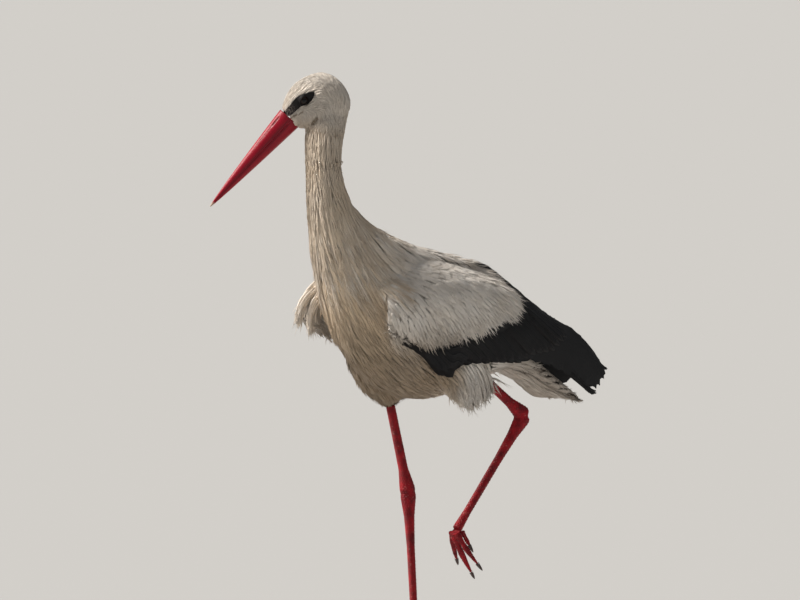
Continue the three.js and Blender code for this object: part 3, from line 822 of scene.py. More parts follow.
def plumage_group():
    """The colour of the plumage from the markings stored on the skin and on every feather."""
    found = bpy.data.node_groups.get("Plumage markings")
    if found:
        return found
    bird = sizes()
    colours = (("White", bird.white), ("Cream", bird.cream), ("Shade and dirt", bird.shade_and_dirt), ("Black", bird.black))
    tree, nodes, given, out = node_group(
        "Plumage markings", [(name, "NodeSocketColor", solid(colour)) for name, colour in colours],
        [("Color", "NodeSocketColor")],
    )
    cloud = nodes.times(nodes.minus(nodes.noise(26.0, 3.0), 0.5), 0.5)
    cream = nodes.plus(nodes.attribute("cream"), cloud, clamp=True)
    base = nodes.mix(cream, given.outputs["White"], given.outputs["Cream"])
    # Painted shade and dirt: the shade mark mixes the colour towards the dark brown.
    base = nodes.mix(nodes.attribute("shade"), base, given.outputs["Shade and dirt"])
    tone = nodes.plus(0.90, nodes.times(nodes.attribute("tone"), 0.18))
    grey = nodes.add("ShaderNodeCombineColor", {0: tone, 1: tone, 2: tone}).outputs[0]
    base = nodes.mix(1.0, base, grey, "MULTIPLY")
    base = nodes.mix(nodes.attribute("black"), base, given.outputs["Black"])
    nodes.fill(out, {"Color": base})
    return tree


def feather_material():
    """Soft white and cream feathers."""
    found = bpy.data.materials.get("White plumage")
    if found:
        return found
    material, nodes, shader = new_material("White plumage")
    colour = nodes.group(plumage_group()).outputs["Color"]
    barbs = nodes.group(barb_group(), {"Barbs": 26.0})
    # Painted shade where the barbs part.
    colour = nodes.mix(nodes.times(barbs.outputs["Gap"], 0.10), colour, solid(sizes().shade_and_dirt))
    nodes.fill(shader, {
        "Base Color": colour, "Normal": nodes.bump(barbs.outputs["Height"], 0.0003, 0.5), "Roughness": 0.88,
        "Specular IOR Level": 0.2, "Sheen Weight": 0.15, "Sheen Roughness": 0.5,
    })
    return material


def flight_material():
    """Black flight feathers with a slight gloss, a raised shaft and barbs that part here and there."""
    material, nodes, shader = new_material("Black flight feathers")
    barbs = nodes.group(barb_group(), {"Barbs": 110.0, "Slant": 0.5})
    worn = nodes.noise(60.0, 3.0)
    brown = nodes.times(nodes.attribute("edge"), nodes.times(worn, 0.9))
    colour = nodes.mix(brown, solid(sizes().black), (0.020, 0.013, 0.010, 1))
    colour = nodes.mix(nodes.times(nodes.attribute("tone"), 0.5), colour, (0.008, 0.009, 0.011, 1))
    nodes.fill(shader, {
        "Base Color": colour, "Normal": nodes.bump(barbs.outputs["Height"], 0.0003, 0.45),
        "Roughness": nodes.plus(0.44, nodes.times(worn, 0.22)), "Specular IOR Level": 0.22,
    })
    return material


def skin_material():
    """Mostly hidden skin with the markings of the feathers over it, bare and black on the face."""
    material, nodes, shader = new_material("Feathered skin")
    colour = nodes.group(plumage_group()).outputs["Color"]
    colour = nodes.mix(nodes.attribute("bare"), colour, solid(BARE_SKIN))
    where = nodes.add("ShaderNodeTexCoord").outputs["Object"]
    pimples = nodes.add("ShaderNodeTexVoronoi", {"Vector": where, "Scale": 420.0})
    nodes.fill(shader, {
        "Base Color": colour, "Normal": nodes.bump(pimples.outputs[0], 0.0004, 0.5), "Roughness": 0.8,
    })
    return material


def leg_material(name, raised):
    """Red leg skin. Raised is true for the scales and false for the skin between them."""
    material, nodes, shader = new_material(name)
    leg = solid(sizes().leg)
    colour = nodes.mix(nodes.rise(nodes.noise(90.0, 4.0), 0.35, 0.65), darker(leg, 0.42, 0.5, 0.55), leg)
    if raised:
        dust = nodes.times(nodes.rise(nodes.noise(230.0, 3.0), 0.60, 0.72), 0.32)
        colour = nodes.mix(dust, colour, (0.62, 0.40, 0.33, 1))
    nodes.fill(shader, {
        "Base Color": colour, "Normal": nodes.bump(nodes.noise(900.0, 2.0), 0.0002, 0.4),
        "Roughness": 0.45 if raised else 0.6, "Specular IOR Level": 0.28,
    })
    return material


def bill_material():
    """Crimson horn: fine lengthwise streaks, painted shade in the nostril slits, their grooves and along the
    cutting edges, darker at the root, and a paler tip.
    """
    material, nodes, shader = new_material("Red bill")
    bill = solid(sizes().bill)
    dark = darker(bill, 0.45, 0.5, 0.6)
    horn = nodes.add("ShaderNodeUVMap", uv_map="Horn").outputs[0]
    streaks = nodes.noise(14.0, 4.0, 0.6, vector=horn, stretch=(0.35, 9.0, 1.0))
    colour = nodes.mix(nodes.rise(streaks, 0.30, 0.62), dark, bill)
    colour = nodes.mix(nodes.times(nodes.noise(38.0, 3.0), 0.35), colour, dark)
    # Painted shade: the nostril slits, their grooves and the cutting edges are painted near black, and the root
    # a little darker.
    colour = nodes.mix(nodes.attribute("groove"), colour, (0.035, 0.004, 0.006, 1))
    colour = nodes.mix(nodes.attribute("tip"), colour, (0.66, 0.50, 0.38, 1))
    nodes.fill(shader, {
        "Base Color": colour, "Normal": nodes.bump(streaks, 0.0005, 0.35),
        "Roughness": nodes.plus(0.30, nodes.times(streaks, 0.2)), "Specular IOR Level": 0.25,
        "Coat Weight": 0.08, "Coat Roughness": 0.25,
    })
    return material


def eye_material():
    """A dark brown iris round a black pupil, under a wet clear front."""
    material, nodes, shader = new_material("Dark eye")
    out = nodes.attribute("out")
    iris = nodes.ramp(nodes.noise(1500.0, 2.0), (0.3, (0.008, 0.004, 0.002)), (0.7, (0.024, 0.011, 0.006)))
    colour = nodes.mix(nodes.rise(out, 0.40, 0.47), (0.002, 0.002, 0.002, 1), iris)
    colour = nodes.mix(nodes.rise(out, 0.72, 0.85), colour, (0.004, 0.003, 0.003, 1))
    nodes.fill(shader, {
        "Base Color": colour, "Roughness": 0.10, "Specular IOR Level": 0.2, "Coat Weight": 0.15,
        "Coat Roughness": 0.02,
    })
    return material


def lid_material():
    """Black wrinkled skin of the face."""
    material, nodes, shader = new_material("Bare face skin")
    folds = nodes.noise(420.0, 4.0)
    wide = nodes.rise(nodes.noise(160.0, 2.0), 0.4, 0.7)
    colour = nodes.mix(wide, solid(BARE_SKIN), (0.010, 0.008, 0.008, 1))
    specks = nodes.rise(nodes.noise(620.0, 2.0), 0.46, 0.64)
    colour = nodes.mix(nodes.times(specks, nodes.attribute("lore")), colour, (0.20, 0.165, 0.145, 1))
    nodes.fill(shader, {
        "Base Color": colour, "Normal": nodes.bump(folds, 0.0006, 0.6), "Roughness": 0.6,
        "Specular IOR Level": 0.15,
    })
    return material


def claw_material():
    """Dark horn with paler streaks."""
    material, nodes, shader = new_material("Dark claw")
    streaks = nodes.noise(300.0, 3.0)
    colour = nodes.ramp(streaks, (0.3, (0.030, 0.016, 0.013)), (0.7, (0.10, 0.055, 0.045)))
    nodes.fill(shader, {"Base Color": colour, "Normal": nodes.bump(streaks, 0.0002, 0.4), "Roughness": 0.42})
    return material


def floor_material():
    """A plain pale floor."""
    material, nodes, shader = new_material("Pale floor")
    nodes.fill(shader, {"Base Color": (0.40, 0.40, 0.395, 1), "Roughness": 0.9, "Specular IOR Level": 0.1})
    return material


# ------------------------------
# Skin


def coat_depths(points, tracts):
    """Thickness of the plumage over each point of the outline, in metres."""
    depth = np.array([COAT_DEPTH[t] for t in range(len(COAT_DEPTH))])[tracts] * MM
    along, _ = on_spine(points)
    return np.where(tracts == NECK, np.interp(along, *NECK_DEPTH) * MM, depth)


# How often the skin is averaged where the folded left wing's bend lies flush under the plumage of the breast.
SHOULDER_ROUNDS = 100
BARE_DEPTH = 0.6  # how far the bare skin of the face is sunk, in millimetres
DEEPEST_SHARE = 0.36  # of the body's own thickness, the most that the skin is sunk


def left_shoulder(points):
    """1 round the bend of the left wing and 0 away from it."""
    return within(spot(points), 1.0, (LEFT, 25, 45), (FORWARD, 35, 75), (UP, 395, 420))


def sunk_skin(name, nodes, voxel, outline, rounds, extra=None):
    """A skin round some CAD nodes, sunk by the depth of the coat over it."""
    mesh = remeshed(name, merged(name, nodes), voxel)
    edges = edges_of(mesh)
    points, _ = points_of(mesh)
    points = averaged(points, edges, rounds, 0.4)
    shoulder = left_shoulder(points)[:, None]
    set_points(mesh, points * (1 - shoulder) + averaged(points, edges, SHOULDER_ROUNDS) * shoulder)
    points, normals = points_of(mesh)
    depth = coat_depths(points, outline.tract(points))
    bare = ramp(bare_patch(points), -1.5, 1.5)
    depth = depth * (1 - bare) + BARE_DEPTH * MM * bare
    thick = Ground(mesh).open_room(points, -normals, 0.2 * MM, 40 * MM)
    depth = averaged(np.minimum(averaged(depth, edges, 10), DEEPEST_SHARE * thick), edges, 4)
    if extra is not None:
        depth = depth + extra(points)
    set_points(mesh, averaged(points - normals * depth[:, None], edges, 3, 0.3))
    return mesh



def mark(mesh, outline):
    """Stores the bird's markings at the points of a mesh, and returns their tracts."""
    points, _ = points_of(mesh)
    tracts = outline.tract(points)
    float_attribute(mesh, "black", averaged((tracts == FLIGHT).astype(float), edges_of(mesh), 1))
    float_attribute(mesh, "cream", creaminess(points))
    # Painted shade: the skin under the feathers is a little darker all over, and as dark as the feathers over
    # it under the body, tail and wing bend.
    float_attribute(mesh, "shade", np.clip(0.08 + shade_and_soil(points), 0, 0.9))
    float_attribute(mesh, "tone", np.full(len(points), 0.5))
    float_attribute(mesh, "bare", ramp(bare_patch(points), -0.6, 0.6))
    return tracts


class STORK_OT_skin(bpy.types.Operator):
    """One closed skin for all the flesh, sunk under the plumage, with the bare skin of the legs and face"""

    bl_idname = "stork.skin"
    bl_label = "Skin"

    def execute(self, context):
        bird = sizes()
        outline = Outline()
        low_neck = place((0, 0, 690))[2]

        def under_collar(points):
            """Sinks the coarse skin a little more where the finer skin of the neck runs over it."""
            return 1.2 * MM * ramp(points[:, 2], low_neck - 0.012, low_neck + 0.004)

        coarse_nodes = [n for n in BODY_NODES if n != "head"]
        coarse = sunk_skin("skin of the trunk", coarse_nodes, bird.skin_voxel, outline, 5, under_collar)
        fine = sunk_skin("skin of the head", HEAD_NODES, bird.head_voxel, outline, 8)
        ground = joined("feather ground", coarse, fine)
        mark(ground, outline)
        ground.use_fake_user = True
        legs = sunk_skin("skin of the legs", LEG_NODES, bird.leg_voxel, outline, 4)
        mesh = joined("skin", ground.copy(), legs)
        tracts = mark(mesh, outline)
        skin = new_object("skin", mesh)
        mesh.materials.clear()
        mesh.materials.append(skin_material())
        mesh.materials.append(leg_material("Red leg skin", False))
        first = read(mesh.polygons, "loop_start", 1, np.int32)
        corners = read(mesh.loops, "vertex_index", 1, np.int32)
        write(mesh.polygons, "material_index", tracts[corners[first]] == LEG, np.int32)
        smooth(mesh)
        mesh.update()
        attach(skin, BODY)
        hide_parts(*FLESH)
        return {"FINISHED"}


# ------------------------------
# Feathers

PATCH = 0.003  # size of one feather on the coat's map
# Cross-sections: across the vane from edge to edge over the top, then the middle of the underside. Each point
# is (across, share of the thickness, share of the droop of the edges).
SLIM_SECTION = ((-1, 0, 1), (0, 1, 0), (1, 0, 1), (0, -1, 0))
VANE_SECTION = ((-1, 0, 1), (-0.5, 0.7, 0.25), (0, 1.3, 0), (0.5, 0.7, 0.25), (1, 0, 1), (0, -1, 0.2))
QUILL_SECTION = (
    (-1, 0, 1), (-0.62, 0.5, 0.4), (-0.2, 0.6, 0.05), (-0.05, 0.8, 0), (0, 3.0, 0), (0.05, 0.8, 0),
    (0.2, 0.6, 0.05), (0.62, 0.5, 0.4), (1, 0, 1), (0, -1.6, 0.2),
)

# Half widths from root to tip, over the widest.
ROUND_TIP = (0.25, 0.62, 0.88, 1.0, 1.0, 0.90, 0.66, 0.12)
SOFT_TIP = (0.30, 0.75, 1.0, 0.95, 0.62, 0.10)
LANCE_TIP = (0.35, 0.75, 1.0, 0.98, 0.86, 0.66, 0.40, 0.06)
PLUME_TIP = (0.45, 1.0, 0.95, 0.60, 0.06)
STRAND_TIP = (0.8, 1.0, 0.55, 0.08)


class Coat:
    """Collects closed shells with their markings, and makes them one piece."""

    def __init__(self):
        self.points, self.quads, self.vane, self.bake = [], [], [], []
        self.marks = {"tone": [], "cream": [], "shade": [], "black": [], "edge": []}
        self.count = 0

    def add(self, spine, normal, half, thick, droop, section, root_map, marks, reach=(0.0, 1.0)):
        """Adds a shell for each spine. half and droop are given at every station, in metres."""
        feathers, stations, _ = spine.shape
        ahead = unit(np.gradient(spine, axis=1))
        side = unit(np.cross(normal, ahead))
        over = np.cross(ahead, side)
        across, rise, fall = np.array(section, float).T
        corners = len(across)
        if half.ndim == 2:
            half = np.stack([half, half], -1)
        width = np.where(across < 0, half[..., :1], half[..., 1:]) * across
        lift = np.asarray(thick)[..., None] * rise - droop[..., None] * fall
        points = spine[:, :, None] + side[:, :, None] * width[..., None] + over[:, :, None] * lift[..., None]
        self.points.append(points.reshape(-1, 3))
        ring = np.arange(corners)
        turn = np.roll(ring, -1)
        step = np.arange(stations - 1)[:, None] * corners
        walls = np.stack([step + ring, step + corners + ring, step + corners + turn, step + turn], -1)
        ends = np.array([(k - 1, k, corners - k - 1, corners - k) for k in range(1, corners // 2)])
        caps = np.stack([ends, (stations - 1) * corners + ends[:, ::-1]], 1)
        faces = np.concatenate([walls.reshape(-1, 4), caps.reshape(-1, 4)])
        start = self.count + np.arange(feathers)[:, None, None] * stations * corners
        self.quads.append((faces[None] + start).reshape(-1, 4))
        size = (feathers, stations, corners)
        self.count += math.prod(size)
        run = np.broadcast_to(np.linspace(*reach, stations)[None, :, None], size)
        vane = np.stack([np.broadcast_to(0.5 + 0.5 * across, size), run], -1)
        self.vane.append(vane.reshape(-1, 2))
        self.bake.append((root_map[:, None, None] + PATCH * (vane - 0.5)).reshape(-1, 2))
        for name, values in self.marks.items():
            value = np.asarray(marks.get(name, 0.0), float)
            value = value.reshape(value.shape + (1,) * (3 - value.ndim))
            values.append(np.broadcast_to(np.abs(across) if name == "edge" else value, size).reshape(-1))

    def finish(self, name, material, slot, *nodes):
        """The piece itself, with its maps and markings."""
        points = np.concatenate(self.points)
        quads = np.concatenate(self.quads)
        mesh = quad_mesh(name, points, quads)
        uv_layer(mesh, "OFBake", np.concatenate(self.bake))
        uv_layer(mesh, "Vane", np.concatenate(self.vane))
        for mark_name, values in self.marks.items():
            float_attribute(mesh, mark_name, np.concatenate(values))
        mesh.materials.append(material)
        piece = new_object(name, mesh)
        print("piece", name, 2 * len(quads), "triangles")
        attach(piece, BODY)
        if nodes:
            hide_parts(*nodes)
        return piece


DEEPEST_COAT = 9  # the most that the skin is taken to lie under the outline, in millimetres
SHOULDER_COAT = 4  # the same round the bend of the left wing
USUAL_COAT = 2.5  # where no outline is met


def gap_above(outline, point, normal):
    """How far a point of the skin is under the outline, in metres."""
    _, _, _, distance = outline.tree.ray_cast(point, normal, 2 * DEEPEST_COAT * MM)
    return USUAL_COAT * MM if distance is None else distance


class Plot:
    """The skin that feathers are rooted in, with what is stored on it."""

    def __init__(self):
        mesh = bpy.data.meshes["feather ground"]
        self.ground = Ground(mesh)
        outline = Outline()
        points, normals = self.ground.points, self.ground.normals
        self.tract = outline.tract(points)
        gap = np.array([gap_above(outline, *ray) for ray in zip(points.tolist(), normals.tolist())])
        most = (DEEPEST_COAT - (DEEPEST_COAT - SHOULDER_COAT) * left_shoulder(points)) * MM
        self.depth = np.minimum(averaged(np.minimum(gap, most), edges_of(mesh), 4), most)
        triangles = self.ground.triangles
        self.face_tract = self.tract[triangles[:, 0]]
        self.face_middle = points[triangles].mean(1)
        self.face_normal = unit(self.ground.normals[triangles].mean(1))
        self.room = self.ground.open_room(self.face_middle, self.face_normal, 1.5 * MM, 26 * MM)
        along, angle = on_spine(self.face_middle)
        self.face_along, self.face_angle = along, np.abs(angle)
        self.face_bare = bare_patch(self.face_middle)
        self.face_spot = spot(self.face_middle)


_plot = []


def plot():
    """The one plot, made when the first feathers are laid."""
    if not _plot:
        _plot.append(Plot())
    return _plot[0]


def unwrap(points, tract):
    """Where places of the skin lie on an unrolled map of it: the body round its spine, the wings, thighs and
    tail each from their own side."""
    forward, left, up = spot(points).T
    along, angle = on_spine(points)
    far = np.where(left > 0, 0.0, 0.47)
    if tract in (COVERTS, FLIGHT):
        u, v = 0.50 + 0.22 * (forward + 320) / 500, 0.02 + far + 0.42 * (up - 330) / 240
    elif tract in (RIGHT_THIGH, LEFT_THIGH):
        turn = np.arctan2(left - np.sign(left) * 38, forward - 30)
        u, v = 0.76 + 0.10 * (turn + math.pi) / (2 * math.pi), 0.02 + far + 0.42 * (up - 300) / 160
    elif tract == TAIL:
        u, v = 0.89 + 0.09 * (left + 45) / 90, 0.02 + 0.46 * (forward + 300) / 220 + 0.005 * np.sign(up - 360)
    else:
        u, v = 0.02 + 0.44 * (angle + math.pi) / (2 * math.pi), 0.02 + 0.95 * along / 620
    return np.clip(np.stack([u, v], -1), 0.004, 0.996)


def turned(vectors, normals, angle):
    """Directions turned about the normals."""
    across = np.cross(normals, vectors)
    return vectors * np.cos(angle)[:, None] + across * np.sin(angle)[:, None]


def lay(roots, length, stations, dice, yaw=0.10, stiff=0.55, release=2.0, droop=0.0):
    """Spines laid over the skin from their roots, straight on beyond the share `release` of their length.
    Returns the points, the normals, and the depth of the coat at each."""
    ground, depths = plot().ground, plot().depth
    count = len(roots)
    points = np.empty((count, stations, 3))
    normals = np.empty((count, stations, 3))
    depth = np.empty((count, stations))
    here, normal, faces = ground.nearest(roots)
    way = turned(flattened(lie_at(here), normal), normal, dice.normal(0, yaw, count))
    step = (np.asarray(length) / (stations - 1)) * np.ones(count)
    down = np.array((0, 0, -1.0))
    for k in range(stations):
        points[:, k], normals[:, k] = here, normal
        depth[:, k] = ground.value_at(depths, here, faces)
        if k == stations - 1:
            break
        there = here + way * step[:, None]
        if (k + 1) / (stations - 1) > release:
            here = there
            way = unit(way + droop * down)
            normal = unit(normal - way * (normal * way).sum(-1, keepdims=True))
            continue
        found, found_normal, found_faces = ground.nearest(there)
        stuck = np.linalg.norm(found - here, axis=-1) < 0.55 * step
        here = np.where(stuck[:, None], there, found)
        normal = np.where(stuck[:, None], normal, found_normal)
        faces = np.where(stuck, faces, found_faces)
        field = flattened(lie_at(here) + droop * down, normal)
        way = flattened(stiff * way + (1 - stiff) * field, normal)
    return points, normals, depth


def raised(points, normals, depth, dice, root=0.10, tip=0.95, spread=0.12, curl=0.0, power=0.85):
    """Lifts laid spines off the skin, from near it at the root to the outline at the tip."""
    count, stations, _ = points.shape
    t = np.linspace(0, 1, stations)[None]
    share = root + (tip - root) * t**power
    share = share * (1 + dice.normal(0, spread, (count, 1)) * t)
    lift = depth * share + curl * t**3
    return points + normals * lift[..., None]


def drawn_together(points, normals, dice, centres_apart, wide, long, pull):
    """Draws the tips of neighbouring feathers together into locks. Returns the spines and how far each root is
    from the middle of its lock, 0 to 1."""
    roots = points[:, 0]
    ahead = unit(points[:, -1] - roots)
    side = unit(np.cross(normals[:, 0], ahead))
    centres = dice.permutation(len(roots))
    centres = centres[thinned(roots[centres], centres_apart)]
    offset = roots[:, None] - roots[centres][None]
    lateral = (offset * side[:, None]).sum(-1)
    lengthwise = (offset * ahead[:, None]).sum(-1)
    off = (offset**2).sum(-1) - lateral**2 - lengthwise**2
    score = (lateral / wide) ** 2 + (lengthwise / long) ** 2 + np.maximum(off, 0) / wide**2 * 0.5
    aside = lateral[np.arange(len(roots)), score.argmin(1)]
    t = np.linspace(0, 1, points.shape[1])[None, :, None]
    moved = points - side[:, None] * (aside * pull)[:, None, None] * t**1.3
    return moved, np.clip(np.abs(aside) / wide, 0, 1)


BARB_SPREAD = 0.45  # how far loose barbs turn aside from their feather


def fringed(coat, points, normals, half, thick, dice, strands, share, root_map, marks, width):
    """Loose barbs along the outer half of each feather, so that its edge is frayed."""
    count, stations, _ = points.shape
    length = np.linalg.norm(np.diff(points, axis=1), axis=-1).sum(-1)
    rows = np.arange(count)
    steps = len(STRAND_TIP)
    t = np.linspace(0, 1, steps)
    for strand in range(strands):
        place_at = dice.uniform(0.50, 0.92, count) * (stations - 1)
        out = dice.uniform(0.25, 0.9, count) * (1 if strand % 2 else -1)
        low = np.minimum(place_at.astype(int), stations - 2)
        mix = (place_at - low)[:, None]
        start = points[rows, low] * (1 - mix) + points[rows, low + 1] * mix
        normal = unit(normals[rows, low] * (1 - mix) + normals[rows, low + 1] * mix)
        wide = half[rows, low] * (1 - mix[:, 0]) + half[rows, low + 1] * mix[:, 0]
        ahead = unit(points[rows, low + 1] - points[rows, low])
        side = unit(np.cross(normal, ahead))
        start = start + side * (wide * out)[:, None] + normal * (thick * 0.6)
        way = unit(ahead + side * (BARB_SPREAD * out * dice.uniform(0.5, 1.3, count))[:, None]
                   + normal * dice.normal(0.02, 0.05, count)[:, None])
        reach = length * share * dice.uniform(0.6, 1.15, count)
        spine = start[:, None] + way[:, None] * (reach[:, None] * t)[..., None]
        bend = reach * out * BARB_SPREAD * 0.45
        spine = spine - side[:, None] * bend[:, None, None] * (t**2)[None, :, None]
        slim = np.array(STRAND_TIP)[None] * width * dice.uniform(0.7, 1.4, count)[:, None]
        normal = np.repeat(normal[:, None], steps, 1)
        coat.add(spine, normal, slim, slim * 0.30, slim * 0, SLIM_SECTION, root_map, marks, reach=(0.7, 1.0))


CUP = 0.10  # how far a vane's edges droop, over its half width
ROOT_SHADE = 0.04


def grown(coat, roots, tract, length, half, profile, section, seed, *, yaw=0.10, stiff=0.55, release=2.0,
          droop=0.0, tip=0.95, spread=0.12, curl=0.0, thick=0.16 * MM, ragged=0.0, locks=None, strands=0,
          strand_share=0.28, strand_width=0.42 * MM, lock_shade=0.0, keep=None, root_lift=0.40):
    """Lays one set of feathers on the skin and adds them to a coat."""
    dice = np.random.default_rng(seed)
    count, stations = len(roots), len(profile)
    length = np.asarray(length) * np.ones(count) * dice.uniform(0.85, 1.15, count)
    half = np.asarray(half) * np.ones(count) * dice.uniform(0.88, 1.12, count)
    t = np.linspace(0, 1, stations)[None]
    points, normals, depth = lay(roots, length, stations, dice, yaw, stiff, release, droop)
    aside = np.zeros(count)
    if locks:
        points, aside = drawn_together(points, normals, dice, *locks)
    points = raised(points, normals, depth, dice, root_lift, tip, spread, curl)
    if locks:
        # The middle of a lock stands over its edges.
        valley = (1 - aside)[:, None] * t
        points = points + normals * (valley * 0.22 * depth - 0.10 * depth)[..., None]
    if keep is not None:
        kept = keep(points)
        points, normals, half, aside, roots = (part[kept] for part in (points, normals, half, aside, roots))
        count = len(roots)
    width = half[:, None] * np.array(profile)[None]
    both = width
    if ragged:
        rough = 1 - ragged * dice.random((count, stations, 2))
        rough[:, :2] = 1
        both = width[..., None] * rough
    root_map = unwrap(roots, tract)
    marks = {"tone": dice.random(count), "cream": creaminess(points[:, 0])}
    # Painted shade: darker at the edges of each lock and towards the roots, and darker under the body, tail and
    # wing bend, partly as mud on the belly. The rest is random tone and rust on the face.
    shade = lock_shade * aside[:, None] ** 1.5 * np.linspace(1, 0.35, stations)[None]
    shade = shade + ROOT_SHADE * (1 - t) ** 2 + dice.normal(0, 0.04, (count, 1))
    shade = shade + 0.85 * stain(points) + shade_and_soil(points)
    marks["shade"] = np.clip(shade, 0, 0.9)
    coat.add(points, normals, both, thick, CUP * width, section, root_map, marks)
    if strands:
        loose = {**marks, "shade": marks["shade"][:, -1]}
        fringed(coat, points, normals, width, thick, dice, strands, strand_share, root_map, loose, strand_width)


def chosen(*masks):
    """The numbers of the skin's faces that pass every test."""
    together = masks[0]
    for mask in masks[1:]:
        together = together & mask
    return np.flatnonzero(together)


def clear_of_face(points):
    """Which feathers leave the face's bare skin and the bill free. A few reach into its front end."""
    middle, tip = points[:, points.shape[1] // 2], points[:, -1]
    ahead, _, _ = head_spot(points[:, 0])
    strays = 1.8 * ramp(ahead, 22, 34)
    return (bare_patch(middle) < 0.2 + strays) & (bare_patch(tip) < 0.5 + strays) & (ahead < BILL_ROOT + 2.5)


def clear_of_quills(points):
    """Which feathers don't lie over the black flight feathers."""
    field = plot()
    kept = np.ones(len(points), bool)
    for station in (points.shape[1] // 2, -1):
        _, _, faces = field.ground.nearest(points[:, station])
        kept &= field.face_tract[faces] != FLIGHT
    return kept


class STORK_OT_head_feathers(bpy.types.Operator):
    """Small plumes of the head, shortest round the bill and eyes"""

    bl_idname = "stork.head_feathers"
    bl_label = "Head feathers"

    def execute(self, context):
        field = plot()
        coat = Coat()
        faces = chosen(field.face_tract == HEAD, field.face_bare < -0.3)
        roots = field.ground.scatter(faces, 1.6 * MM, 11)
        ahead, _, _ = head_spot(roots)
        length = np.interp(ahead, (-45, -10, 15, 34, 44), (12, 9.0, 7.0, 4.8, 3.4)) * MM
        half = np.interp(ahead, (-45, 0, 40), (0.95, 0.78, 0.55)) * MM
        grown(
            coat, roots, HEAD, length, half, PLUME_TIP, SLIM_SECTION, 12, stiff=0.3, tip=0.9, spread=0.08,
            thick=0.10 * MM, keep=clear_of_face, locks=(5 * MM, 2.4 * MM, 7 * MM, 0.3), lock_shade=0.10,
            root_lift=0.6,
        )
        coat.finish("head_feathers", feather_material(), "plumage")
        return {"FINISHED"}


class STORK_OT_neck_feathers(bpy.types.Operator):
    """Narrow plumes of the neck, drawn together into fine locks"""

    bl_idname = "stork.neck_feathers"
    bl_label = "Neck feathers"

    def execute(self, context):
        field = plot()
        coat = Coat()
        faces = chosen(field.face_tract == NECK)
        roots = field.ground.scatter(faces, 2.3 * MM, 21)
        along, _ = on_spine(roots)
        length = np.interp(along, (380, 440, 520, 580), (34, 27, 21, 15)) * MM
        half = np.interp(along, (380, 460, 580), (1.5, 1.2, 0.95)) * MM
        grown(
            coat, roots, NECK, length, half, PLUME_TIP, SLIM_SECTION, 22, yaw=0.08, stiff=0.5, tip=0.92,
            spread=0.07, thick=0.14 * MM, locks=(13 * MM, 4.4 * MM, 22 * MM, 0.5), lock_shade=0.16,
            root_lift=0.65,
        )
        coat.finish("neck_feathers", feather_material(), "plumage")
        return {"FINISHED"}


class STORK_OT_breast_feathers(bpy.types.Operator):
    """Long pointed feathers that hang from the lower neck over the breast"""

    bl_idname = "stork.breast_feathers"
    bl_label = "Breast feathers"

    def execute(self, context):
        field = plot()
        coat = Coat()
        front = (field.face_along > 318) & (field.face_along < 455)
        below = field.face_angle > np.interp(field.face_along, (318, 380, 455), (1.9, 1.35, 1.2))
        body = (field.face_tract == TRUNK) | (field.face_tract == NECK)
        faces = chosen(front, below, body, field.room > 8 * MM)
        roots = field.ground.scatter(faces, 5.2 * MM, 31)
        along, _ = on_spine(roots)
        length = np.interp(along, (318, 360, 400, 455), (48, 76, 92, 76)) * MM
        grown(
            coat, roots, TRUNK, length, 2.7 * MM, LANCE_TIP, VANE_SECTION, 32, yaw=0.07, stiff=0.6, tip=1.05,
            spread=0.10, thick=0.18 * MM, locks=(26 * MM, 9 * MM, 44 * MM, 0.5), ragged=0.25, lock_shade=0.20,
            root_lift=0.6, strands=6, strand_share=0.26, strand_width=0.36 * MM, keep=clear_of_quills,
        )
        coat.finish("breast_feathers", feather_material(), "plumage")
        return {"FINISHED"}


class STORK_OT_body_feathers(bpy.types.Operator):
    """Soft feathers of the back, sides, belly and rump"""

    bl_idname = "stork.body_feathers"
    bl_label = "Body feathers"

    def execute(self, context):
        field = plot()
        trunk = (field.face_tract == TRUNK) & (field.face_along < 425) & (field.room > 5 * MM)
        upper = field.face_angle < 1.45
        left = field.face_middle[:, 0] > SHIFT_LEFT * MM
        for name, part, seed, apart, wide in (
            ("back_feathers", upper, 41, 6.6, 1.3),
            ("belly_feathers_left", ~upper & left, 43, 5.4, 0.8),
            ("belly_feathers_right", ~upper & ~left, 45, 5.4, 0.8),
        ):
            coat = Coat()
            roots = field.ground.scatter(chosen(trunk, part), apart * MM, seed)
            along, _ = on_spine(roots)
            length = np.interp(along, (0, 120, 260, 340, 425), (36, 46, 44, 38, 30)) * MM
            half = np.interp(along, (0, 120, 260, 340, 425), (4.3, 5.2, 5.0, 4.0, 2.8)) * wide * MM
            grown(
                coat, roots, TRUNK, length, half, SOFT_TIP, VANE_SECTION, seed + 1, yaw=0.13, tip=0.92,
                spread=0.05, ragged=0.35, strands=4, keep=clear_of_quills, root_lift=0.78,
            )
            coat.finish(name, feather_material(), "plumage")
        return {"FINISHED"}


class STORK_OT_thigh_feathers(bpy.types.Operator):
    """Soft loose feathers of the thighs, longest where the lifted one's hang free"""

    bl_idname = "stork.thigh_feathers"
    bl_label = "Thigh feathers"

    def execute(self, context):
        field = plot()
        for name, tract, seed, apart, long, droop, release in (
            ("right", RIGHT_THIGH, 51, 4.0, 21, 0.08, 0.75), ("left", LEFT_THIGH, 53, 3.8, 42, 0.22, 0.52),
        ):
            coat = Coat()
            faces = chosen(field.face_tract == tract, field.room > 4 * MM)
            roots = field.ground.scatter(faces, apart * MM, seed)
            grown(
                coat, roots, tract, long * MM, 2.6 * MM, LANCE_TIP, VANE_SECTION, seed + 1, yaw=0.14, tip=1.0,
                spread=0.10, release=release, droop=droop, ragged=0.3, locks=(15 * MM, 6 * MM, 22 * MM, 0.35),
                lock_shade=0.12, strands=5, strand_share=0.34, strand_width=0.4 * MM,
            )
            coat.finish("thigh_feathers_" + name, feather_material(), "plumage")
        return {"FINISHED"}


# The front of the bend of the right wing, which hangs clear of the breast.
BEND_EDGE = np.array([(176, 58, 482), (172, 66, 462), (158, 72, 448), (140, 76, 441), (122, 78, 436)], float)
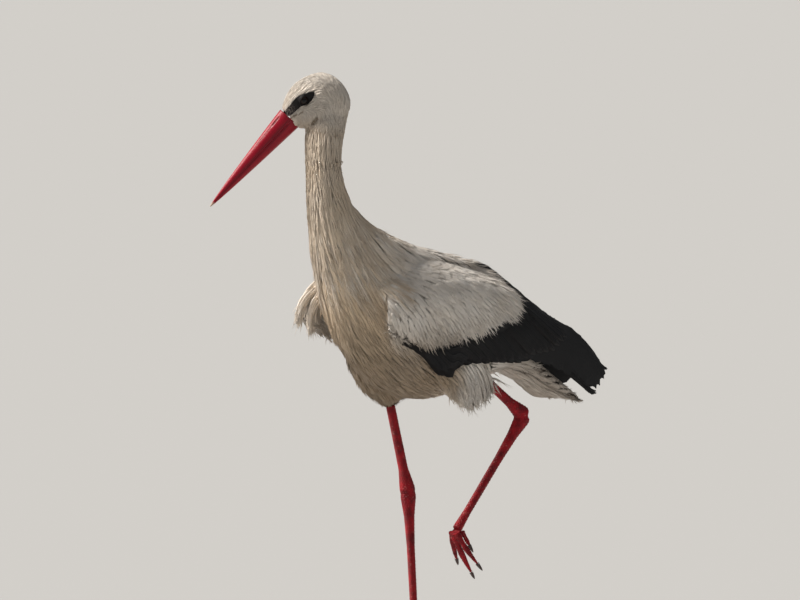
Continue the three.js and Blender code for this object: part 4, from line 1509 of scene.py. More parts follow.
# Rows of feathers along these edges: how far up the feathers from the edge a row starts, how far apart, how
# long and how wide its feathers are, all in millimetres, and how many loose barbs each has.
COVERT_ROWS = ((34, 4.4, 38, 3.9, 8), (46, 5.0, 36, 4.4, 5), (58, 6.0, 34, 4.8, 4))
BEND_ROWS = ((26, 3.4, 36, 3.4, 7), (38, 4.2, 34, 3.8, 5))
SHOULDER_ROWS = ((46, 4.6, 50, 4.2, 7), (60, 5.4, 48, 4.6, 4), (76, 6.0, 46, 5.0, 4), (92, 7.0, 44, 5.0, 4))


def edge_row(edge, side, inside, apart):
    """Places in a row along an edge of the plumage, `inside` millimetres up the feathers from it."""
    edge = edge * (1, side, 1)
    run = np.concatenate([[0], np.cumsum(np.linalg.norm(np.diff(edge, axis=0), axis=-1))])
    at = np.arange(apart / 2, run[-1], apart)
    line = place(np.stack([np.interp(at, run, edge[:, k]) for k in range(3)], -1))
    return line - lie_at(line) * inside * MM


# The plumes that hang from the bend of the right wing. Each lock has a root and a tip, both (forward, left,
# up), how far its roots and its tips are spread, and a number of plumes.
HANGING_LOCKS = (
    ((150, -62, 506), (178, -74, 459), 9, 5, 24), ((152, -58, 496), (158, -70, 443), 8, 4, 22),
    ((144, -60, 502), (168, -74, 474), 10, 8, 24), ((136, -64, 490), (146, -72, 452), 10, 6, 18),
)
HANGING_STATIONS = 12
HANGING_OUTLINE = ((0, 0.5, 0.85, 1), (0.6, 1, 0.7, 0.1))
HANGING_HALF = 2.6 * MM
HANGING_THICK = 0.18 * MM
HANGING_CREAM = 0.34
HANGING_ARCH = np.array((5.0, -3.0, 3.0))  # how far a plume's middle bulges
HANGING_FACE = np.array((6.0, 8.0, 2.0))  # the way that the plumes' backs lie towards the breast


def hanging_plumes(coat, dice):
    """Adds the locks that hang from the bend of the right wing to a coat."""
    t = np.linspace(0, 1, HANGING_STATIONS)[None, :, None]
    outline = np.interp(t[0, :, 0], *HANGING_OUTLINE)
    for root, tip, root_spread, tip_spread, count in HANGING_LOCKS:
        roots = np.array(root) + dice.normal(0, root_spread / 2, (count, 3)) * (1, 0.5, 1)
        tips = np.array(tip) + dice.normal(0, tip_spread / 2, (count, 3)) * (1, 0.5, 1.4)
        line = roots[:, None] * (1 - t) + tips[:, None] * t
        line = line + HANGING_ARCH * np.sin(t * math.pi)
        points = place(line)
        along = unit(np.gradient(points, axis=1))
        normals = flattened(place(line + HANGING_FACE) - points, along)
        half = (HANGING_HALF * dice.uniform(0.8, 1.2, (count, 1))) * outline[None]
        marks = {"tone": dice.random(count), "cream": HANGING_CREAM}
        marks["shade"] = np.clip(dice.normal(0.03, 0.04, (count, HANGING_STATIONS)), 0, 0.9)
        root_map = unwrap(points[:, 0], COVERTS)
        both = half[..., None] * (1 - 0.3 * dice.random((*half.shape, 2)))
        coat.add(points, normals, both, HANGING_THICK, 0.12 * half, VANE_SECTION, root_map, marks)
        marks["shade"] = 0.0
        fringed(coat, points, normals, half, HANGING_THICK, dice, 6, 0.26, root_map, marks, 0.4 * MM)


class STORK_OT_wing_coverts(bpy.types.Operator):
    """White coverts of the folded wings, small at the bend and long and frayed over the black feathers, and the
    long feathers of the shoulders over them"""

    bl_idname = "stork.wing_coverts"
    bl_label = "Wing coverts"

    def execute(self, context):
        field = plot()
        for side, name in ((1, "left"), (-1, "right")):
            coat = Coat()
            own = (field.face_tract == COVERTS) & (np.sign(field.face_spot[:, 1]) == side)
            faces = chosen(own, field.room > 3 * MM)
            roots = field.ground.scatter(faces, 6.0 * MM, 61 + side)
            forward = spot(roots)[:, 0]
            length = np.interp(forward, (-120, 0, 100, 165), (36, 32, 27, 18)) * MM
            half = np.interp(forward, (-120, 0, 100, 165), (6.2, 5.9, 4.8, 3.4)) * MM
            grown(
                coat, roots, COVERTS, length, half, ROUND_TIP, VANE_SECTION, 64 + side, yaw=0.14, tip=0.92,
                spread=0.05, ragged=0.35, strands=3, strand_share=0.26, strand_width=0.45 * MM,
                keep=clear_of_quills, root_lift=0.78,
            )
            seed = 70 + side
            bend = BEND_ROWS if side < 0 else ()
            edges = ((COVERT_EDGE, COVERT_ROWS), (SHOULDER_EDGE, SHOULDER_ROWS), (BEND_EDGE, bend))
            for edge, rows in edges:
                for inside, apart, long, wide, barbs in rows:
                    seed += 3
                    grown(
                        coat, edge_row(edge, side, inside, apart), COVERTS, long * MM, wide * MM, LANCE_TIP,
                        VANE_SECTION, seed, yaw=0.09, tip=1.3, spread=0.10, curl=1.4 * MM, thick=0.18 * MM,
                        release=0.72, ragged=0.35, strands=barbs, strand_share=0.30, root_lift=0.6,
                    )
            if side < 0:
                hanging_plumes(coat, np.random.default_rng(69))
            coat.finish("wing_coverts_" + name, feather_material(), "plumage")
        return {"FINISHED"}


# ------------------------------
# Flight feathers and tail

# The folded flight feathers of the left wing: forward, lower edge (left, up), upper edge (left, up), bulge
# outwards and thickness.
FLIGHT_STATIONS = (
    (126, 72, 438, 72, 452, 3, 5), (86, 75, 412, 71, 470, 7, 8), (32, 76, 385, 64, 490, 9, 10),
    (8, 75, 398, 54, 500, 15, 12), (-40, 73, 399, 30, 526, 22, 13), (-100, 69, 393, 9, 524, 26, 14),
    (-150, 62, 389, 7, 495, 24, 14), (-200, 54, 374, 7, 464, 20, 13), (-250, 46, 352, 9, 440, 14, 11),
    (-285, 38, 338, 12, 419, 9, 9), (-321, 26, 360, 15, 376, 3, 5),
)
THINNEST = 0.2  # thickness of a wing's edges over that of its middle


def smoothed(rows, samples=160):
    """A table of stations read closely along a smooth curve through them."""
    rows = np.array(rows, float)
    padded = np.concatenate([2 * rows[:1] - rows[1:2], rows, 2 * rows[-1:] - rows[-2:-1]])
    t = np.linspace(0, len(rows) - 1, samples)
    i = np.minimum(t.astype(int), len(rows) - 2)
    f = (t - i)[:, None]
    a, b, c, d = padded[i], padded[i + 1], padded[i + 2], padded[i + 3]
    return 0.5 * (2 * b + (c - a) * f + (2 * a - 5 * b + 4 * c - d) * f**2 + (3 * b - a - 3 * c + d) * f**3)


FLIGHT_TABLE = smoothed(FLIGHT_STATIONS)[::-1]


def on_wing(forward, share, depth, side):
    """A point of the folded wing: how far forward, how far up from its lower edge and how deep into it."""
    keys = FLIGHT_TABLE[:, 0]
    low_left, low_up, high_left, high_up, bulge, thick = (
        np.interp(forward, keys, FLIGHT_TABLE[:, k]) for k in range(1, 7)
    )
    over_left, over_up = high_left - low_left, high_up - low_up
    chord = np.hypot(over_left, over_up)
    inner = np.clip(share, 0, 1)
    arch = np.sin(inner * math.pi)
    body = np.maximum(np.sqrt(arch), THINNEST)
    out = bulge * arch - depth * thick * body
    left = low_left + over_left * share + over_up / chord * out
    up = low_up + over_up * share - over_left / chord * out
    return place(np.stack([forward, side * left, up], -1))


def wing_quill(root, tip, stations, depth, side, bow=0.0):
    """A spine on the folded wing from (forward, share) to (forward, share), and the wing's normal along it."""
    t = np.linspace(0, 1, stations)
    forward = root[0] + (tip[0] - root[0]) * t
    share = root[1] + (tip[1] - root[1]) * t + bow * np.sin(t * math.pi)
    points = on_wing(forward, share, depth, side)
    along = on_wing(forward - 2.0, share, depth, side) - points
    up = on_wing(forward, share + 0.03, depth, side) - points
    normals = unit(np.cross(along, up)) * side
    return points, normals


# How a quill's half width runs from root to tip.
QUILL_STATIONS = 20
QUILL_RUN = np.linspace(0, 1, QUILL_STATIONS)
ROUND_QUILL = np.sqrt(np.clip(1 - np.clip((QUILL_RUN - 0.80) / 0.2, 0, 0.995) ** 2, 0, 1))
SHARP_QUILL = np.interp(QUILL_RUN, (0, 0.55, 0.8, 0.93, 1), (1, 0.95, 0.68, 0.38, 0.08))
SECONDARIES = 24
PRIMARIES = 10
PRIMARY_HALF = 9.5 * MM
SECONDARY_HALF = 12.5 * MM
# Where the tips of the quills are on the folded wing, from the outermost to the innermost: how far forward, and
# how far up from the lower edge of the wing to its upper one. The tips of the primaries part into two groups.
PRIMARY_SHARES = (0, 0.30, 0.46, 0.55, 0.80, 1)
PRIMARY_FORWARD = (-262, -290, -290, -310, -327, -322)
PRIMARY_UP = (0.04, -0.03, 0.02, 0.46, 0.50, 0.70)
SECONDARY_SHARES = (0, 0.2, 0.4, 0.6, 0.75, 0.9, 1)
SECONDARY_FORWARD = (36, -45, -120, -190, -238, -228, -166)
SECONDARY_UP = (0.0, 0.0, 0.02, 0.22, 0.66, 0.92, 0.96)
# The same for the roots of the secondaries.
ROOT_SHARES = np.linspace(0, 1, 6)
ROOT_FORWARD = (112, 74, 25, -15, -45, -60)
ROOT_UP = (0.50, 0.62, 0.72, 0.80, 0.86, 0.93)
# How deep in the wing the first and the last quills of its outer and its inner layer lie.
OUTER_LAYER = (0.42, 0.10)
INNER_LAYER = (0.62, 0.94)
TUCK = 5.0 * MM  # how far quills are sunk under the white coverts


def quill_layer(side, first_depth, last_depth, dice):
    """One layer of a wing's quills, primaries first: their points, normals and half widths."""
    quills = []
    for i in range(PRIMARIES):
        s = i / (PRIMARIES - 1)
        root = (-70 - 30 * s, 0.30 + 0.35 * s)
        tip = (np.interp(s, PRIMARY_SHARES, PRIMARY_FORWARD), np.interp(s, PRIMARY_SHARES, PRIMARY_UP))
        depth = first_depth + (last_depth - first_depth) * 0.25 * s
        quills.append((*wing_quill(root, tip, QUILL_STATIONS, depth, side, 0.03), PRIMARY_HALF * SHARP_QUILL))
    for i in range(SECONDARIES):
        s = i / (SECONDARIES - 1)
        root = (np.interp(s, ROOT_SHARES, ROOT_FORWARD), np.interp(s, ROOT_SHARES, ROOT_UP))
        tip = (np.interp(s, SECONDARY_SHARES, SECONDARY_FORWARD), np.interp(s, SECONDARY_SHARES, SECONDARY_UP))
        depth = first_depth + (last_depth - first_depth) * (0.3 + 0.7 * s)
        points, normals = wing_quill(root, tip, QUILL_STATIONS, depth, side, 0.02)
        quills.append((points + dice.normal(0, 0.4 * MM, 3), normals, SECONDARY_HALF * ROUND_QUILL))
    return [np.stack(column) for column in zip(*quills)]


def tucked(points, normals):
    """The spines of quills with the parts that lie under the white coverts sunk."""
    field = plot()
    _, _, faces = field.ground.nearest(points.reshape(-1, 3))
    under = (field.face_tract[faces] != FLIGHT).astype(float).reshape(points.shape[:2])
    for _ in range(2):
        under[:, 1:-1] = 0.5 * under[:, 1:-1] + 0.25 * (under[:, :-2] + under[:, 2:])
    return points - normals * (TUCK * under)[..., None]


class STORK_OT_flight_feathers(bpy.types.Operator):
    """Black secondaries, tertials and primaries, laid over each other on the folded wings"""

    bl_idname = "stork.flight_feathers"
    bl_label = "Flight feathers"

    def execute(self, context):
        dice = np.random.default_rng(71)
        for side, name in ((1, "left"), (-1, "right")):
            coat = Coat()
            outer = quill_layer(side, *OUTER_LAYER, dice)
            inner = quill_layer(side, *INNER_LAYER, dice)
            half = np.concatenate([outer[2], inner[2]])
            points = np.concatenate([outer[0], inner[0]])
            root_map = unwrap(points[:, 0], FLIGHT)
            points[:len(outer[0])] = tucked(outer[0], outer[1])
            normals = np.concatenate([outer[1], -inner[1]])
            both = half[..., None] * (1 - 0.10 * dice.random((*half.shape, 2)) ** 3)
            marks = {"tone": dice.random(len(half)), "black": 1.0}
            coat.add(points, normals, both, 0.22 * MM, 0.13 * half, QUILL_SECTION, root_map, marks)
            coat.finish("flight_feathers_" + name, flight_material(), "flight")
        return {"FINISHED"}


TAIL_FEATHERS = 12
TAIL_STATIONS = (
    (-120, 402, 22, 10, 48), (-165, 384, 30, 12, 46), (-208, 360, 35, 15, 37), (-243, 343, 37, 15, 23),
    (-262, 337, 31, 12, 7),
)
TAIL_TABLE = smoothed(TAIL_STATIONS)[::-1]


def on_tail(forward, across, depth):
    """A point of the tail: how far forward, how far across from -1 to 1, and how deep from its top."""
    keys = TAIL_TABLE[:, 0]
    up, half, drop_at_edge, thick = (np.interp(forward, keys, TAIL_TABLE[:, k]) for k in range(1, 5))
    slope = (TAIL_TABLE[0, 1] - TAIL_TABLE[6, 1]) / (TAIL_TABLE[0, 0] - TAIL_TABLE[6, 0])
    up = up + np.minimum(forward - keys[0], 0) * slope
    body = np.sqrt(1 - 0.94 * np.clip(across, -1, 1) ** 2)
    height = up + thick / 2 - drop_at_edge * across**2 - depth * thick * body
    return place(np.stack([forward, across * half, height], -1))


class STORK_OT_tail(bpy.types.Operator):
    """White tail feathers in a folded fan, and the soft coverts under and over their roots"""

    bl_idname = "stork.tail"
    bl_label = "Tail"

    def execute(self, context):
        dice = np.random.default_rng(81)
        coat = Coat()
        points, normals = [], []
        for i in range(TAIL_FEATHERS):
            across = 2 * i / (TAIL_FEATHERS - 1) - 1
            forward = -150 + (-118 + 8 * abs(across)) * QUILL_RUN
            depth = 0.30 + 0.28 * abs(across) + 0.15 * QUILL_RUN
            points.append(on_tail(forward, across * (0.45 + 0.48 * QUILL_RUN), depth))
            normals.append(np.repeat(unit(np.array((across * 0.3, -0.35, 1.0)))[None], QUILL_STATIONS, 0))
        points, normals = np.stack(points), np.stack(normals)
        half = 9.0 * MM * np.ones((TAIL_FEATHERS, 1)) * ROUND_QUILL[None]
        both = half[..., None] * (1 - 0.12 * dice.random((*half.shape, 2)) ** 2)
        # Painted shade: the tail is a little darker all over and darker underneath.
        marks = {"tone": dice.random(TAIL_FEATHERS), "cream": 0.35, "shade": 0.06 + shade_and_soil(points)}
        root_map = unwrap(points[:, 0], TAIL)
        coat.add(points, normals, both, 0.2 * MM, 0.12 * half, QUILL_SECTION, root_map, marks)
        field = plot()
        faces = chosen(field.face_tract == TAIL, field.room > 3 * MM)
        roots = field.ground.scatter(faces, 5.6 * MM, 82)
        length = np.interp(spot(roots)[:, 0], (-264, -220, -120), (16, 34, 42)) * MM
        grown(
            coat, roots, TAIL, length, 4.2 * MM, LANCE_TIP, VANE_SECTION, 83, yaw=0.08, tip=0.9, spread=0.05,
            root_lift=0.75, release=0.8, ragged=0.3, strands=4,
        )
        coat.finish("tail_feathers", feather_material(), "plumage")
        return {"FINISHED"}


# ------------------------------
# Bill, eyes and face


def bands(rows, columns, wrapped):
    """The faces between the rings of a grid of points, and from the last ring to the first if it is wrapped."""
    low = np.arange(rows if wrapped else rows - 1)[:, None] * columns
    high = (low + columns) % (rows * columns)
    ring = np.arange(columns)
    turn = np.roll(ring, -1)
    return np.stack([low + ring, low + turn, high + turn, high + ring], -1).reshape(-1, 4).tolist()


def closed_tube(rings):
    """Points and faces of a tube closed at both ends. rings is a grid of points, one ring for each row."""
    rows, columns, _ = rings.shape
    points = np.concatenate([rings.reshape(-1, 3), rings[:1].mean(1), rings[-1:].mean(1)])
    first = rows * columns
    base = first - columns
    faces = bands(rows, columns, False)
    turns = [(i, (i + 1) % columns) for i in range(columns)]
    faces += [(first, b, a) for a, b in turns]
    faces += [(first + 1, base + a, base + b) for a, b in turns]
    return points, faces


def closed_object(name, points, faces):
    """A smooth closed mesh with its faces turned outwards."""
    shell = bmesh.new()
    verts = [shell.verts.new(p) for p in points.tolist()]
    for face in faces:
        shell.faces.new([verts[i] for i in face])
    bmesh.ops.recalc_face_normals(shell, faces=shell.faces)
    mesh = bpy.data.meshes.new(name)
    shell.to_mesh(mesh)
    shell.free()
    smooth(mesh)
    return new_object(name, mesh)


BILL_ROWS = 110
BILL_COLUMNS = 40
BILL_UPPER_DEEP = 19
BILL_LOWER_DEEP = 15.5
BILL_HALF_WIDE = 12.2
BILL_FULLNESS = 0.82
BILL_TIP_SHARE = 0.035
GAPE_GAP = 0.15


def bill_half(over_half):
    """Rings of one half of the bill, with its nostril, its ridge and the groove along its cutting edge."""
    deep = BILL_UPPER_DEEP if over_half > 0 else BILL_LOWER_DEEP
    share = np.linspace(0, 1, BILL_ROWS)[:, None]
    turn = np.linspace(0, math.pi, BILL_COLUMNS)[None]
    taper = BILL_TIP_SHARE + (1 - BILL_TIP_SHARE) * (1 - share) ** BILL_FULLNESS
    ahead = BILL_ROOT + (BILL_TIP - BILL_ROOT) * share + 0 * turn
    side = np.cos(turn) * BILL_HALF_WIDE * taper
    height = np.sin(turn) ** 0.9 * deep * taper
    run = (ahead - BILL_ROOT)
    around = turn / math.pi * 2 - 1
    groove = np.zeros_like(side)
    if over_half > 0:
        for sign in (-1, 1):
            slit = np.exp(-(((run - 17) / 7.5) ** 4)) * np.exp(-(((around * sign - 0.40) / 0.045) ** 2))
            trail = np.exp(-(((around * sign - 0.40) / 0.07) ** 2)) * ramp(run, 14, 26) * ramp(run, 75, 40)
            groove = groove + slit + 0.22 * trail
    edge = np.exp(-((np.abs(around) - 0.93) / 0.035) ** 2) * ramp(run, 0, 12) * ramp(run, 160, 120)
    root_ring = np.exp(-((run / 5.0) ** 2)) * 0.5
    inward = groove * 1.5 + edge * 0.35
    length = np.hypot(side, height) + 1e-6
    side = side * (1 - inward / np.maximum(length, 2.0) * (length > 2.0))
    height = height * (1 - inward / np.maximum(length, 2.0) * (length > 2.0))
    ridge = np.exp(-((around / 0.10) ** 2)) * 0.35 * taper
    height = height + ridge
    over = GAPE_OVER + over_half * (GAPE_GAP + height)
    points = in_head(ahead, side, over)
    horn = np.stack([share + 0 * turn, (turn / math.pi) + 0 * share], -1)
    tip = ramp(share + 0.012 * np.cos(turn), 0.955, 0.99) + 0 * turn
    # The third value is the dark mark: painted shade in the nostril slits, their grooves and along the cutting
    # edges, and a darker root.
    return points, horn, np.clip(groove + 0.6 * edge + root_ring * 0.6, 0, 1), tip


class STORK_OT_bill(bpy.types.Operator):
    """Both halves of the bill"""

    bl_idname = "stork.bill"
    bl_label = "Bill"

    def execute(self, context):
        material = bill_material()
        for name, over_half in (("bill_upper", 1), ("bill_lower", -1)):
            rings, horn, groove, tip = bill_half(over_half)
            points, faces = closed_tube(rings)
            piece = closed_object(name + "_horn", points, faces)
            mesh = piece.data
            flat = np.concatenate([horn.reshape(-1, 2), [[0, 0.5], [1, 0.5]]])
            uv_layer(mesh, "Horn", flat)
            float_attribute(mesh, "groove", np.concatenate([groove.reshape(-1), [0.5, 0]]))
            float_attribute(mesh, "tip", np.concatenate([tip.reshape(-1), [0, 1]]))
            mesh.materials.append(material)
            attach(piece, BODY)
            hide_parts(name)
        return {"FINISHED"}


def head_side(ahead, over):
    """Half width of the skull's outline at a place in the head's frame, in millimetres."""
    wide = np.interp(ahead, SKULL_ALONG, SKULL_WIDE)
    high = np.interp(ahead, SKULL_ALONG, SKULL_OVER)
    return wide * np.sqrt(np.clip(1 - (over / high) ** 2, 0.02, 1))


class STORK_OT_eyes(bpy.types.Operator):
    """Dark glossy eyes, their lids, and the bare black skin between the eye and the bill"""

    bl_idname = "stork.eyes"
    bl_label = "Eyes and face"

    def execute(self, context):
        eye = eye_material()
        lid = lid_material()
        for side, name in ((1, "left"), (-1, "right")):
            self.eyeball(side, name, eye)
            self.lids(side, name, lid)
        return {"FINISHED"}

    def eyeball(self, side, name, material):
        """A ball with a slightly bulging front."""
        out = np.linspace(0.0, math.pi, 33)[1:-1][:, None]
        turn = np.linspace(0, 2 * math.pi, 48, endpoint=False)[None]
        bulge = 1 + 0.05 * np.exp(-((out / 0.55) ** 2))
        radius = (EYE_RADIUS - 0.15) * bulge
        points = in_head(
            EYE_ALONG + radius * np.sin(out) * np.cos(turn),
            side * (EYE_SIDE + radius * np.cos(out) + 0 * turn),
            EYE_OVER + radius * np.sin(out) * np.sin(turn),
        )
        grid, faces = closed_tube(points)
        piece = closed_object("eye_" + name + "_ball", grid, faces)
        rim = (np.sin(out) + 0 * turn + 2 * (out > 1.6)).reshape(-1)
        float_attribute(piece.data, "out", np.concatenate([rim, [0, 3]]))
        piece.data.materials.append(material)
        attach(piece, BODY)
        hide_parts("eye_" + name)

    def lids(self, side, name, material):
        """A sheet of bare skin with an almond opening, whose rims stand over the eye."""
        rows, columns = 26, 96
        turn = np.linspace(0, 2 * math.pi, columns, endpoint=False)[None]
        share = np.linspace(0, 1, rows)[:, None]
        cosine, sine = np.cos(turn), np.sin(turn)
        # The opening: a little wider than high, and drawn to a corner in front and behind.
        open_along = 5.9 * cosine
        open_over = 4.7 * np.sign(sine) * np.abs(sine) ** 1.15 - 0.4 * cosine
        # The rim of the bare skin.
        rim_along = np.where(cosine > 0, 31.5 * cosine, 18.0 * cosine)
        middle_low = np.interp(EYE_ALONG + rim_along, PATCH_ALONG, PATCH_LOW)
        middle_high = np.interp(EYE_ALONG + rim_along, PATCH_ALONG, PATCH_HIGH)
        middle = (middle_low + middle_high) / 2 - EYE_OVER
        half = (middle_high - middle_low) / 2 + 0.8
        rim_over = middle + half * np.clip(sine * 1.8, -1, 1)
        ease = share**1.25
        ahead = open_along + (rim_along - open_along) * ease
        over = open_over + (rim_over - open_over) * ease
        away = np.hypot(ahead, over)
        ball = EYE_SIDE + np.sqrt(np.clip((EYE_RADIUS + 0.45) ** 2 - away**2, 0, None))
        flat = head_side(EYE_ALONG + ahead, EYE_OVER + over) - 0.9
        blend = ramp(away, 6.4, 9.5)
        surface = np.maximum(ball * (1 - blend) + flat * blend, flat)
        fold = 0.32 * np.exp(-(((share - 0.06) / 0.05) ** 2)) - 0.28 * np.exp(-(((share - 0.20) / 0.05) ** 2))
        wrinkle = 0.16 * np.sin(share * 40 + 0.6 * np.sin(3 * turn))
        fold = fold + wrinkle * ramp(share, 0.2, 0.35) * ramp(share, 1.0, 0.75)
        surface = surface + fold
        under = surface - np.interp(share, (0, 0.1, 1), (0.5, 1.2, 1.6))
        outer = in_head(EYE_ALONG + ahead, side * surface, EYE_OVER + over)
        inner = in_head(EYE_ALONG + ahead, side * under, EYE_OVER + over)
        rings = np.concatenate([outer, inner[::-1]])
        faces = bands(len(rings), columns, True)
        piece = closed_object("lids_" + name, rings.reshape(-1, 3), faces)
        lore = ramp(ahead + 0 * over, 10, 27)
        float_attribute(piece.data, "lore", np.concatenate([lore, lore[::-1]]).reshape(-1))
        piece.data.materials.append(material)
        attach(piece, BODY)


# ------------------------------
# Legs

# The bones of the legs that are bare, from top to bottom.
BONES = (
    ((46.5, -30, 337), (22, -20, 214)), ((22, -20, 214), (24, -3, 13)),
    ((-78, 40, 364), (-144, 40, 315)), ((-144, 40, 315), (-17, 38, 163)),
)


def scale_places(skin, apart):
    """Places for the scales in staggered rings round the bones and toes: points, normals, ways along the leg,
    and where each is on an unrolled map of the legs."""
    places, normals, ways, spread = [], [], [], []
    lines = [(place(a), place(b), 9) for a, b in BONES]
    for node in sorted(LEG_NODES):
        if node.startswith("toe"):
            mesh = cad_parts[node].data
            points, _ = points_of(mesh)
            middle = points.mean(0)
            _, _, axes = np.linalg.svd(points - middle, full_matrices=False)
            reach = (points - middle) @ axes[0]
            start, end = middle + axes[0] * reach.min() * 0.98, middle + axes[0] * reach.max() * 0.96
            lines.append((start, end, 6))
    for strip, (start, end, round_count) in enumerate(lines):
        ahead = unit(end - start)
        across = unit(np.cross(ahead, (0.3, 1.0, 0.1)))
        over = np.cross(ahead, across)
        length = np.linalg.norm(end - start)
        rows = int(length / (apart * 0.86))
        for row in range(rows):
            middle = start + ahead * (row + 0.5) * length / rows
            for k in range(round_count + 2):
                angle = 2 * math.pi * (k + 0.5 * (row % 2)) / (round_count + 2)
                out = across * math.cos(angle) + over * math.sin(angle)
                origin = middle + out * 0.022
                hit, normal, _, _ = skin.tree.ray_cast(origin.tolist(), (-out).tolist(), 0.021)
                if hit is None:
                    continue
                places.append(hit)
                normals.append(normal)
                ways.append(ahead)
                share = angle / (2 * math.pi)
                spread.append(((strip + 0.1 + 0.8 * share) / len(lines), 0.02 + 0.95 * row / rows))
    return np.array(places), np.array(normals), np.array(ways), np.array(spread)


def scale_tree(material):
    """Puts a low six-sided scale on every point and turns it into the skin there."""
    tree = bpy.data.node_groups.new("Leg scales", "GeometryNodeTree")
    tree.interface.new_socket("Geometry", in_out="INPUT", socket_type="NodeSocketGeometry")
    for label, default in (("Width", 3.0 * MM), ("Height", 0.5 * MM)):
        socket = tree.interface.new_socket(label, in_out="INPUT", socket_type="NodeSocketFloat")
        socket.default_value = default
    tree.interface.new_socket("Geometry", in_out="OUTPUT", socket_type="NodeSocketGeometry")
    nodes = Nodes(tree)
    given = nodes.add("NodeGroupInput")
    half = nodes.math("MULTIPLY", given.outputs["Width"], 0.52)
    plate = nodes.add("GeometryNodeMeshCone", {"Vertices": 6, "Side Segments": 2})
    nodes.feed(plate.inputs["Radius Bottom"], half)
    nodes.feed(plate.inputs["Radius Top"], nodes.math("MULTIPLY", half, 0.55))
    nodes.feed(plate.inputs["Depth"], given.outputs["Height"])
    stored = "GeometryNodeInputNamedAttribute"
    normal = nodes.add(stored, {"Name": "out"}, data_type="FLOAT_VECTOR").outputs[0]
    along = nodes.add(stored, {"Name": "way"}, data_type="FLOAT_VECTOR").outputs[0]
    stand = nodes.add("FunctionNodeAxesToRotation", {0: normal, 1: along}, primary_axis="Z", secondary_axis="X")
    size = nodes.add(stored, {"Name": "size"}, data_type="FLOAT").outputs[0]
    instances = nodes.add("GeometryNodeInstanceOnPoints", {
        "Points": given.outputs[0], "Instance": plate.outputs[0], "Rotation": stand.outputs[0], "Scale": size,
    })
    real = nodes.add("GeometryNodeRealizeInstances", {0: instances.outputs[0]})
    painted = nodes.add("GeometryNodeSetMaterial", {"Geometry": real.outputs[0], "Material": material})
    nodes.add("NodeGroupOutput", {0: painted.outputs[0]})
    return tree


class STORK_OT_leg_scales(bpy.types.Operator):
    """Six-sided scales all over the bare legs and toes"""

    bl_idname = "stork.leg_scales"
    bl_label = "Leg scales"

    def execute(self, context):
        apart = sizes().scute
        skin = Ground(bpy.data.objects["skin"].data)
        places, normals, ways, spread = scale_places(skin, apart)
        bare = Outline().tract(places) == LEG
        places, normals, ways, spread = places[bare], normals[bare], ways[bare], spread[bare]
        dice = np.random.default_rng(91)
        mesh = bpy.data.meshes.new("leg scale places")
        mesh.vertices.add(len(places))
        mesh.vertices.foreach_set("co", np.ascontiguousarray(places - normals * 0.05 * MM, np.float32).ravel())
        for label, values in (("out", normals), ("way", ways)):
            layer = mesh.attributes.new(label, "FLOAT_VECTOR", "POINT")
            layer.data.foreach_set("vector", np.ascontiguousarray(values, np.float32).ravel())
        grade = np.interp(spot(places)[:, 2], (0, 60, 160), (0.72, 0.85, 1.0))
        float_attribute(mesh, "size", grade * dice.uniform(0.88, 1.06, len(places)))
        source = new_object("leg scale source", mesh)
        material = leg_material("Red leg scales", True)
        modifier = source.modifiers.new("Leg scales", "NODES")
        tree = scale_tree(material)
        modifier.node_group = tree
        for item in tree.interface.items_tree:
            if item.item_type == "SOCKET" and item.in_out == "INPUT" and item.name == "Width":
                modifier[item.identifier] = apart
        made = evaluated_mesh(source)
        made.name = "leg_scales"
        drop(source)
        points, _ = points_of(made)
        scales = points.reshape(len(places), -1, 3)
        offset = scales - scales.mean(1, keepdims=True)
        across = np.cross(normals, ways)
        local = np.stack([(offset * across[:, None]).sum(-1), (offset * ways[:, None]).sum(-1)], -1)
        local = local / np.abs(local).max((1, 2), keepdims=True)
        uv_layer(made, "OFBake", np.clip(spread[:, None] + 0.5 * PATCH * local, 0.002, 0.998).reshape(-1, 2))
        piece = new_object("leg_scales", made)
        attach(piece, BODY)
        return {"FINISHED"}


class STORK_OT_claws(bpy.types.Operator):
    """Blunt dark claws"""

    bl_idname = "stork.claws"
    bl_label = "Claws"

    def execute(self, context):
        nodes = sorted(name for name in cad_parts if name.startswith("claw"))
        mesh = remeshed("claws", merged("claws", nodes), 0.55 * MM)
        points, _ = points_of(mesh)
        rounded = averaged(points, edges_of(mesh), 3, 0.4)
        rounded[:, 2] = np.maximum(rounded[:, 2], points[:, 2].min())
        set_points(mesh, rounded)
        smooth(mesh)
        mesh.materials.append(claw_material())
        piece = new_object("claws", mesh)
        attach(piece, BODY)
        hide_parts(*nodes)
        return {"FINISHED"}


# ------------------------------
# Stage

CAMERA_LENS = 900
CAMERA_AWAY = 27.9
CAMERA_TURN = math.radians(47)
CAMERA_RISE = math.radians(5)
CAMERA_AIM = Vector((0.0076, -0.0611, 0.4869))
FLOOR_HALF = 150


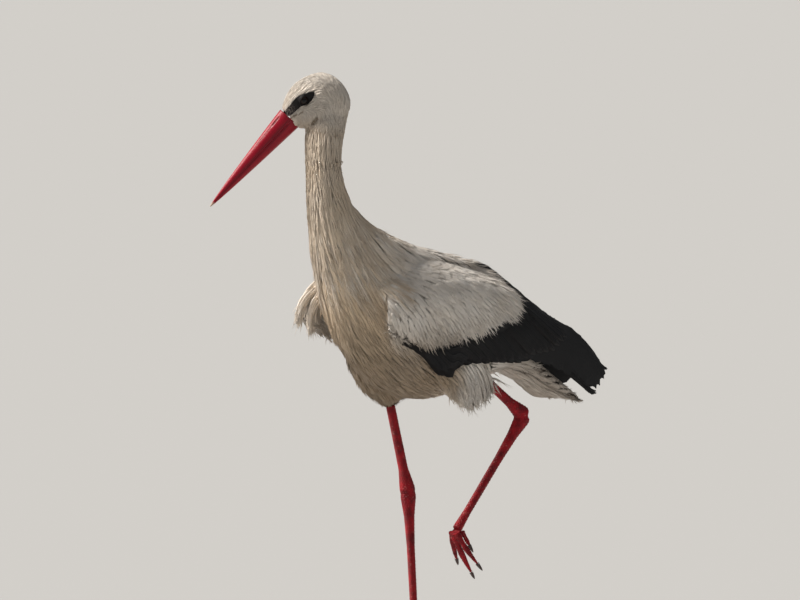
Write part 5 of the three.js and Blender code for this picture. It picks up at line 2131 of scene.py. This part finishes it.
class STORK_OT_stage(bpy.types.Operator):
    """Plain pale floor, soft light and the camera"""

    bl_idname = "stork.stage"
    bl_label = "Stage"

    def execute(self, context):
        scene = bpy.context.scene
        camera = bpy.data.cameras.new("Camera")
        camera.lens = CAMERA_LENS
        camera.sensor_width = 36
        camera.clip_end = 200
        holder = bpy.data.objects.new("Camera", camera)
        back = Vector((
            math.sin(CAMERA_TURN) * math.cos(CAMERA_RISE), -math.cos(CAMERA_TURN) * math.cos(CAMERA_RISE),
            math.sin(CAMERA_RISE),
        ))
        holder.location = CAMERA_AIM + back * CAMERA_AWAY
        holder.rotation_euler = (-back).to_track_quat("-Z", "Y").to_euler()
        scene.collection.objects.link(holder)
        scene.camera = holder

        corners = np.array([(-1, -1, 0), (1, -1, 0), (1, 1, 0), (-1, 1, 0)]) * FLOOR_HALF
        floor = quad_mesh("floor", corners, np.array([(0, 1, 2, 3)]))
        floor.materials.append(floor_material())
        new_object("floor", floor)

        world = bpy.data.worlds.new("Soft light")
        world.use_nodes = True
        world.node_tree.nodes["Background"].inputs[0].default_value = (0.93, 0.96, 1.0, 1)
        world.node_tree.nodes["Background"].inputs[1].default_value = 0.15
        scene.world = world
        scene.view_settings.view_transform = "Standard"
        right = Vector((math.cos(CAMERA_TURN), math.sin(CAMERA_TURN), 0))
        level_back = Vector((math.sin(CAMERA_TURN), -math.cos(CAMERA_TURN), 0))
        for name, toward, power, softness, colour in (
            ("Key light", -1.0 * right - 0.10 * level_back + Vector((0, 0, 1.05)), 6.4, 26, (1.0, 0.955, 0.90)),
            ("Fill light", 0.3 * right + 1.0 * level_back + Vector((0, 0, 0.7)), 0.12, 70, (0.95, 0.97, 1.0)),
        ):
            lamp = bpy.data.lights.new(name, "SUN")
            lamp.energy = power
            lamp.angle = math.radians(softness)
            lamp.color = colour
            lamp_object = bpy.data.objects.new(name, lamp)
            lamp_object.rotation_euler = toward.to_track_quat("Z", "Y").to_euler()
            scene.collection.objects.link(lamp_object)
        return {"FINISHED"}


OPERATORS = (
    STORK_OT_skin, STORK_OT_leg_scales, STORK_OT_claws, STORK_OT_bill, STORK_OT_eyes, STORK_OT_head_feathers,
    STORK_OT_neck_feathers, STORK_OT_breast_feathers, STORK_OT_body_feathers, STORK_OT_thigh_feathers,
    STORK_OT_wing_coverts, STORK_OT_flight_feathers, STORK_OT_tail, STORK_OT_stage,
)


class STORK_PT_panel(bpy.types.Panel):
    """Lists the pieces of the stork"""

    bl_idname = "STORK_PT_panel"
    bl_label = "White stork"
    bl_space_type = "VIEW_3D"
    bl_region_type = "UI"
    bl_category = "Stork"

    def draw(self, context):
        for name in StorkSizes.__annotations__:
            self.layout.prop(context.scene.stork, name)
        for operator in OPERATORS:
            self.layout.operator(operator.bl_idname)


def register():
    for kind in (StorkSizes, *OPERATORS, STORK_PT_panel):
        bpy.utils.register_class(kind)
    bpy.types.Scene.stork = bpy.props.PointerProperty(type=StorkSizes)


def unregister():
    del bpy.types.Scene.stork
    for kind in (STORK_PT_panel, *reversed(OPERATORS), StorkSizes):
        bpy.utils.unregister_class(kind)


def main():
    register()
    for operator in OPERATORS:
        group, action = operator.bl_idname.split(".")
        done = getattr(getattr(bpy.ops, group), action)()
        if done != {"FINISHED"}:
            raise RuntimeError(operator.bl_label + " did not finish")


if __name__ == "__main__":
    main()
